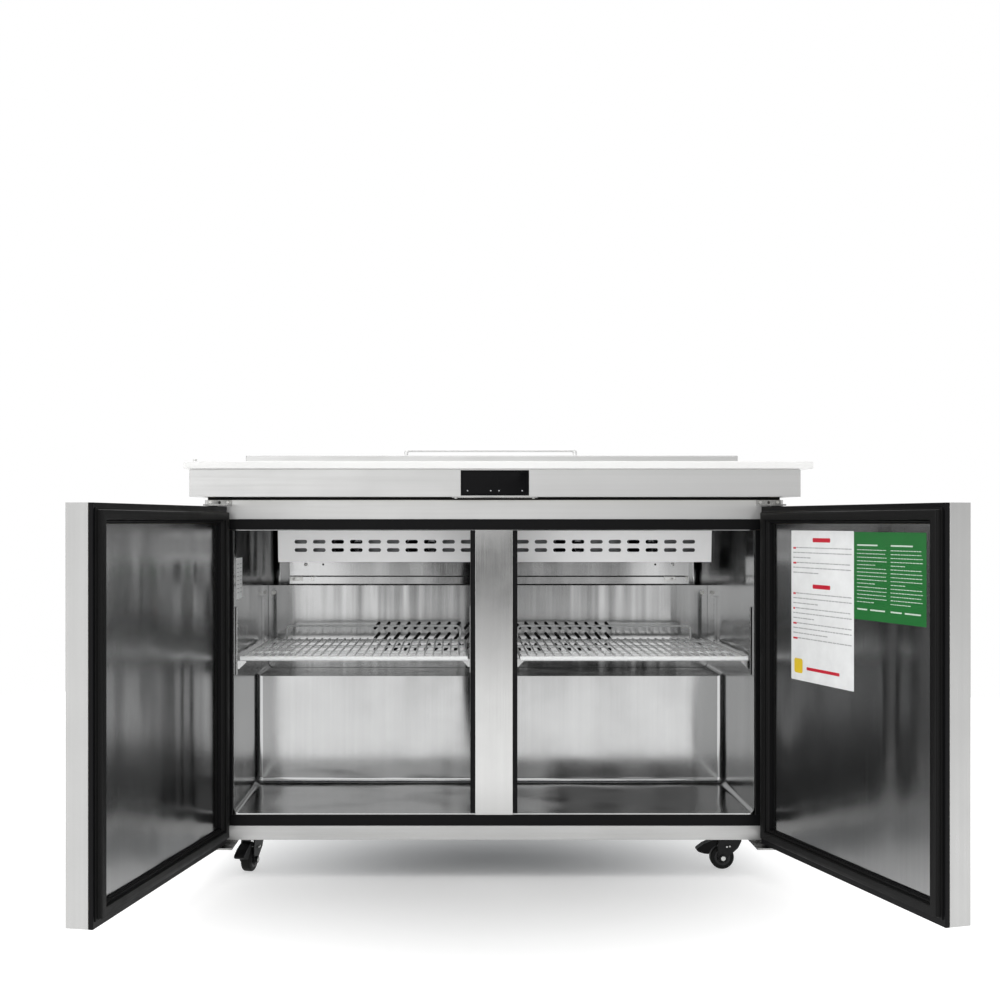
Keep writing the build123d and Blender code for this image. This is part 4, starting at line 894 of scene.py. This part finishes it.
# ---------------------------------------------------------------- evaporator and duct
APRON_SCREW_X, APRON_HOLE_X, APRON_Z = 429 * MM, 388.5 * MM, 632 * MM
APRON_SCREW_R = 4 * MM
HOLE_PROFILE, HOLE_SEGMENTS, HOLE_SINK = in_mm((0, 0), (2.4, 0), (2.4, 0.1), (0, 0.1)), 20, 0.02 * MM
# material slot of the black disc that paints the shade in each empty hole
HOLE_PAINTED_SHADE = 1
FAN_PLATE_GAP, FAN_PLATE_DEPTH, FAN_PLATE_CORNER = 1.5 * MM, 1.0 * MM, 1.5 * MM
# size, depth, corner and setback behind the duct panel of the black painted-shade sheet behind the vents
SHADE_SHEET_SIZE, SHADE_SHEET_DEPTH, SHADE_SHEET_CORNER, SHADE_SHEET_BEHIND = (640 * MM, 100 * MM), 1.5 * MM, 4 * MM, 7 * MM
VENT_X, VENT_Z = 11 * MM, 453.6 * MM
CLIPS = ((-1, -451, 30), (-1, -413, 6), (1, 422, 26), (1, 462, 7))  # side, place and width in mm
CLIP_DEPTH, CLIP_SHEET, CLIP_RISE, CLIP_SETBACK = 10 * MM, 1.0 * MM, 0.4 * MM, 4 * MM
CLIP_SCREW_R = 2.6 * MM
CLIP_SCREW_SHIFT = 0.2  # of the clip's width

house_low, house_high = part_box("evaporator_housing")
drip_low, drip_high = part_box("drip_pan")


def draw_evaporator_screws(bm):
    """A screw near each end of the apron, and an empty hole drawn as a thin black disc of painted shade."""
    for side in (-1, 1):
        screw(bm, (side * APRON_SCREW_X, house_low.y, APRON_Z), -BACKWARDS, APRON_SCREW_R)
        spot = (side * APRON_HOLE_X, house_low.y - HOLE_SINK, APRON_Z)
        turned(bm, spot, -BACKWARDS, HOLE_PROFILE, HOLE_SEGMENTS, HOLE_PAINTED_SHADE)


def draw_fan_plates(bm):
    """Plates that close the gaps beside and between the fans' frames."""
    frame_low, frame_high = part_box("fan_frames")
    half = (frame_high.z - frame_low.z) / 2
    fans = sorted(joint["pos_m"][0] for name, joint in joints.items() if name.startswith("fan_"))
    sides = [x for fan in fans for x in (fan - half, fan + half)]
    stops = [house_low.x, *sides, house_high.x]
    for left, right in zip(stops[::2], stops[1::2]):
        middle = ((left + right) / 2, frame_high.y - FAN_PLATE_GAP, (frame_low.z + frame_high.z) / 2)
        size = (right - left - FAN_PLATE_GAP, 2 * half - FAN_PLATE_GAP)
        slab(bm, middle, ACROSS, size, FAN_PLATE_DEPTH, FAN_PLATE_CORNER)


def draw_duct_painted_shade(bm):
    """A black sheet of painted shade inside the duct, behind its vents, that darkens them."""
    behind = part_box("duct_panel")[0].y + SHADE_SHEET_BEHIND
    slab(bm, (VENT_X, behind, VENT_Z), ACROSS, SHADE_SHEET_SIZE, SHADE_SHEET_DEPTH, SHADE_SHEET_CORNER)


def draw_drip_clips(bm):
    """Folded clips over the front lip of the drip pan, the wide ones with a screw."""
    top, face = drip_high.z + CLIP_RISE, drip_low.y
    for side, x, width in CLIPS:
        x, size = x * MM, (width * MM, CLIP_DEPTH)
        slab(bm, (x, face, top - CLIP_DEPTH / 2), ACROSS, size, CLIP_SHEET, CLIP_SHEET)
        fold = (x, face + CLIP_SETBACK, top - CLIP_RISE)
        slab(bm, fold, ACROSS, size, CLIP_SHEET, CLIP_SHEET, up=BACKWARDS)
        if size[0] > CLIP_DEPTH:
            spot = (x + side * size[0] * CLIP_SCREW_SHIFT, face - CLIP_SHEET, top - CLIP_DEPTH / 2)
            screw(bm, spot, -BACKWARDS, CLIP_SCREW_R)


build("evaporator_screws", "cabinet", [zinc, rubber], draw_evaporator_screws, smooth=40)
build("fan_mounting_plates", "cabinet", [painted_shade_plate], draw_fan_plates)
# painted shade: a black sheet behind the duct's vents
build("duct_lining", "cabinet", [rubber], draw_duct_painted_shade)
build("drip_pan_clips", "cabinet", [zinc], draw_drip_clips, smooth=40)

# ---------------------------------------------------------------- screws outside
REAR_SCREW_R, LEAF_SCREW_R, FLANGE_SCREW_R = 4 * MM, 3 * MM, 2.9 * MM
BACK_INSET, BACK_COLUMNS = (14 * MM, 12 * MM), (-0.2, 0.2)
GRILLE_INSET, GRILLE_TOP_INSET, GRILLE_COLUMNS = (12 * MM, 10 * MM), 8 * MM, (-0.17, 0.17)
LEAF_LENGTH, LEAF_SCREWS, LEAF_INSET, LEAF_THICK = 32 * MM, (8 * MM, 24 * MM), 8 * MM, 2 * MM
FLANGE_SCREWS, FLANGE_Z, FLANGE_THICK = (545 * MM, 562 * MM, 580 * MM), 771 * MM, 2.1 * MM

leaf_low, leaf_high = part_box("lid_hinge")
back_low, back_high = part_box("back_panel")
grille_low, grille_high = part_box("rear_grille")
shell_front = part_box("outer_shell")[0].y


def draw_rear_screws(bm):
    """Screws along the top and bottom of the back panel and of its grille."""
    inset = BACK_INSET[0]
    for x in (back_low.x + inset, *BACK_COLUMNS, back_high.x - inset):
        for z in (back_low.z + BACK_INSET[1], back_high.z - BACK_INSET[1]):
            screw(bm, (x, back_high.y, z), BACKWARDS, REAR_SCREW_R)
    inset = GRILLE_INSET[0]
    for x in (grille_low.x + inset, *GRILLE_COLUMNS, grille_high.x - inset):
        for z in (grille_low.z + GRILLE_INSET[1], grille_high.z - GRILLE_TOP_INSET):
            screw(bm, (x, grille_high.y, z), BACKWARDS, REAR_SCREW_R)


def draw_hinge_screws(bm):
    """Two screws in the lower leaf of each lid hinge."""
    leaf_top = span("lid_hinge", UP)[0] + LEAF_THICK
    for x in (leaf_low.x, leaf_high.x - LEAF_LENGTH):
        for step in LEAF_SCREWS:
            screw(bm, (x + step, leaf_high.y - LEAF_INSET, leaf_top), UP, LEAF_SCREW_R)


def draw_bracket_screws(bm):
    """Three screws in the upper flange of each hinge bracket."""
    for side in (-1, 1):
        for x in FLANGE_SCREWS:
            spot = (side * x, shell_front - FLANGE_THICK, FLANGE_Z)
            screw(bm, spot, -BACKWARDS, FLANGE_SCREW_R)


build("rear_screws", "cabinet", [zinc], draw_rear_screws, smooth=40)
build("lid_hinge_screws", "cabinet", [zinc], draw_hinge_screws, smooth=40)
build("bracket_screws", "cabinet", [dark_screw], draw_bracket_screws, smooth=40)

# ---------------------------------------------------------------- data plate at the back
PLATE_INSET, PLATE_RISE, PLATE_SIZE = 120 * MM, 90 * MM, (90 * MM, 60 * MM)
PLATE_DEPTH, PLATE_FACE, PLATE_CORNER, PLATE_INK = 0.4 * MM, 0.38 * MM, 3 * MM, 0.08 * MM
PLATE_ROWS = [(18 - 9 * row) * MM for row in range(5)]
PLATE_COLUMNS = in_mm((-20, 34), (20, 28))


def draw_data_plate(bm):
    """A blank plate on the back panel, with two columns of bars."""
    middle = Vector((back_high.x - PLATE_INSET, back_high.y, back_low.z + PLATE_RISE))
    slab(bm, middle, -ACROSS, PLATE_SIZE, PLATE_DEPTH, PLATE_CORNER)
    face = middle + BACKWARDS * PLATE_FACE
    print_rows(bm, face, -ACROSS, PLATE_ROWS, PLATE_COLUMNS, PLATE_INK)


build("data_plate", "cabinet", [white_film, grey_ink], draw_data_plate)

# ---------------------------------------------------------------- casters
HUB_SPOKES = 6
HUB_PROFILE = in_mm((11.5, 0), (11.5, 0.5), (12.5, 0.9), (15.5, 0.9), (16.5, 0.5), (16.5, 0))
HUB_SEGMENTS, FACE_INSET, FACE_SINK = 40, 1.5 * MM, 0.1 * MM
SPOKE_PLACE, SPOKE_SIZE, SPOKE_HEIGHT, SPOKE_CORNER = (
    12.5 * MM, (2 * MM, 8 * MM), 0.8 * MM, 0.6 * MM
)
SEAM_START, SEAM_SEGMENTS, TREAD = 0.6 * MM, 64, 1
# radius past the tread's, and place along the axle
SEAM_PROFILE = in_mm((-0.4, 0), (-0.02, 0.2), (-0.02, 1.0), (-0.4, 1.2))
AXLE_PROFILE = in_mm((0, 0), (5.4, 0), (5.4, 1.2), (4.6, 2.0), (0, 2.1))
AXLE_SINK, AXLE_SIDES = 2.2 * MM, 6
RIVET_PROFILE = in_mm((0, 0), (2.0, 0), (1.6, 0.6), (0, 0.8))
RIVET_SINK, RIVET_SEGMENTS, RIVET_PLACES = 3.0 * MM, 20, in_mm((8, 24), (14, 25))


def caster_details(place):
    """Ribbed hub faces and a tread seam on one wheel, and the bolt and rivets on its fork."""
    wheel, fork = f"caster_wheel_{place}", f"caster_fork_{place}"
    joint = joints[f"wheel_{place}_spin"]
    axle, centre = Vector(joint["axis"]).normalized(), Vector(joint["pos_m"])
    half = span(wheel, axle, centre)[1] - FACE_INSET
    radius = span(wheel, UP, centre)[1]
    reach = span(fork, axle, centre)
    forward = Vector((axle.y, -axle.x, 0))
    to_kingpin = forward if sum(span(fork, forward, centre)) > 0 else -forward

    def draw_trim(bm):
        for way in (-1, 1):
            face = centre + axle * way * (half - FACE_SINK)
            turned(bm, face, axle * way, HUB_PROFILE, HUB_SEGMENTS)
            side = axle.orthogonal().normalized()
            for turn in turns(HUB_SPOKES):
                spoke = Matrix.Rotation(turn, 3, axle) @ side
                across = spoke.cross(axle * way)
                spot = face + spoke * SPOKE_PLACE
                slab(bm, spot, across, SPOKE_SIZE, SPOKE_HEIGHT, SPOKE_CORNER, up=spoke)
        seam = [(radius + past, height) for past, height in SEAM_PROFILE]
        turned(bm, centre - axle * SEAM_START, axle, seam, SEAM_SEGMENTS, TREAD)

    def draw_bolts(bm):
        for way, face in ((-1, -reach[0]), (1, reach[1])):
            out = axle * way
            turned(bm, centre + out * (face - AXLE_SINK), out, AXLE_PROFILE, AXLE_SIDES)
            for step, rise in RIVET_PLACES:
                spot = centre + to_kingpin * step + UP * rise + out * (face - RIVET_SINK)
                turned(bm, spot, out, RIVET_PROFILE, RIVET_SEGMENTS)

    trim = [hub_plastic, tread_rubber]
    build(f"wheel_trim_{place}", f"wheel_{place}", trim, draw_trim, smooth=40)
    build(f"caster_bolts_{place}", f"swivel_{place}", [zinc], draw_bolts, smooth=30)


for caster in ("front_left", "front_right", "rear_left", "rear_right"):
    caster_details(caster)
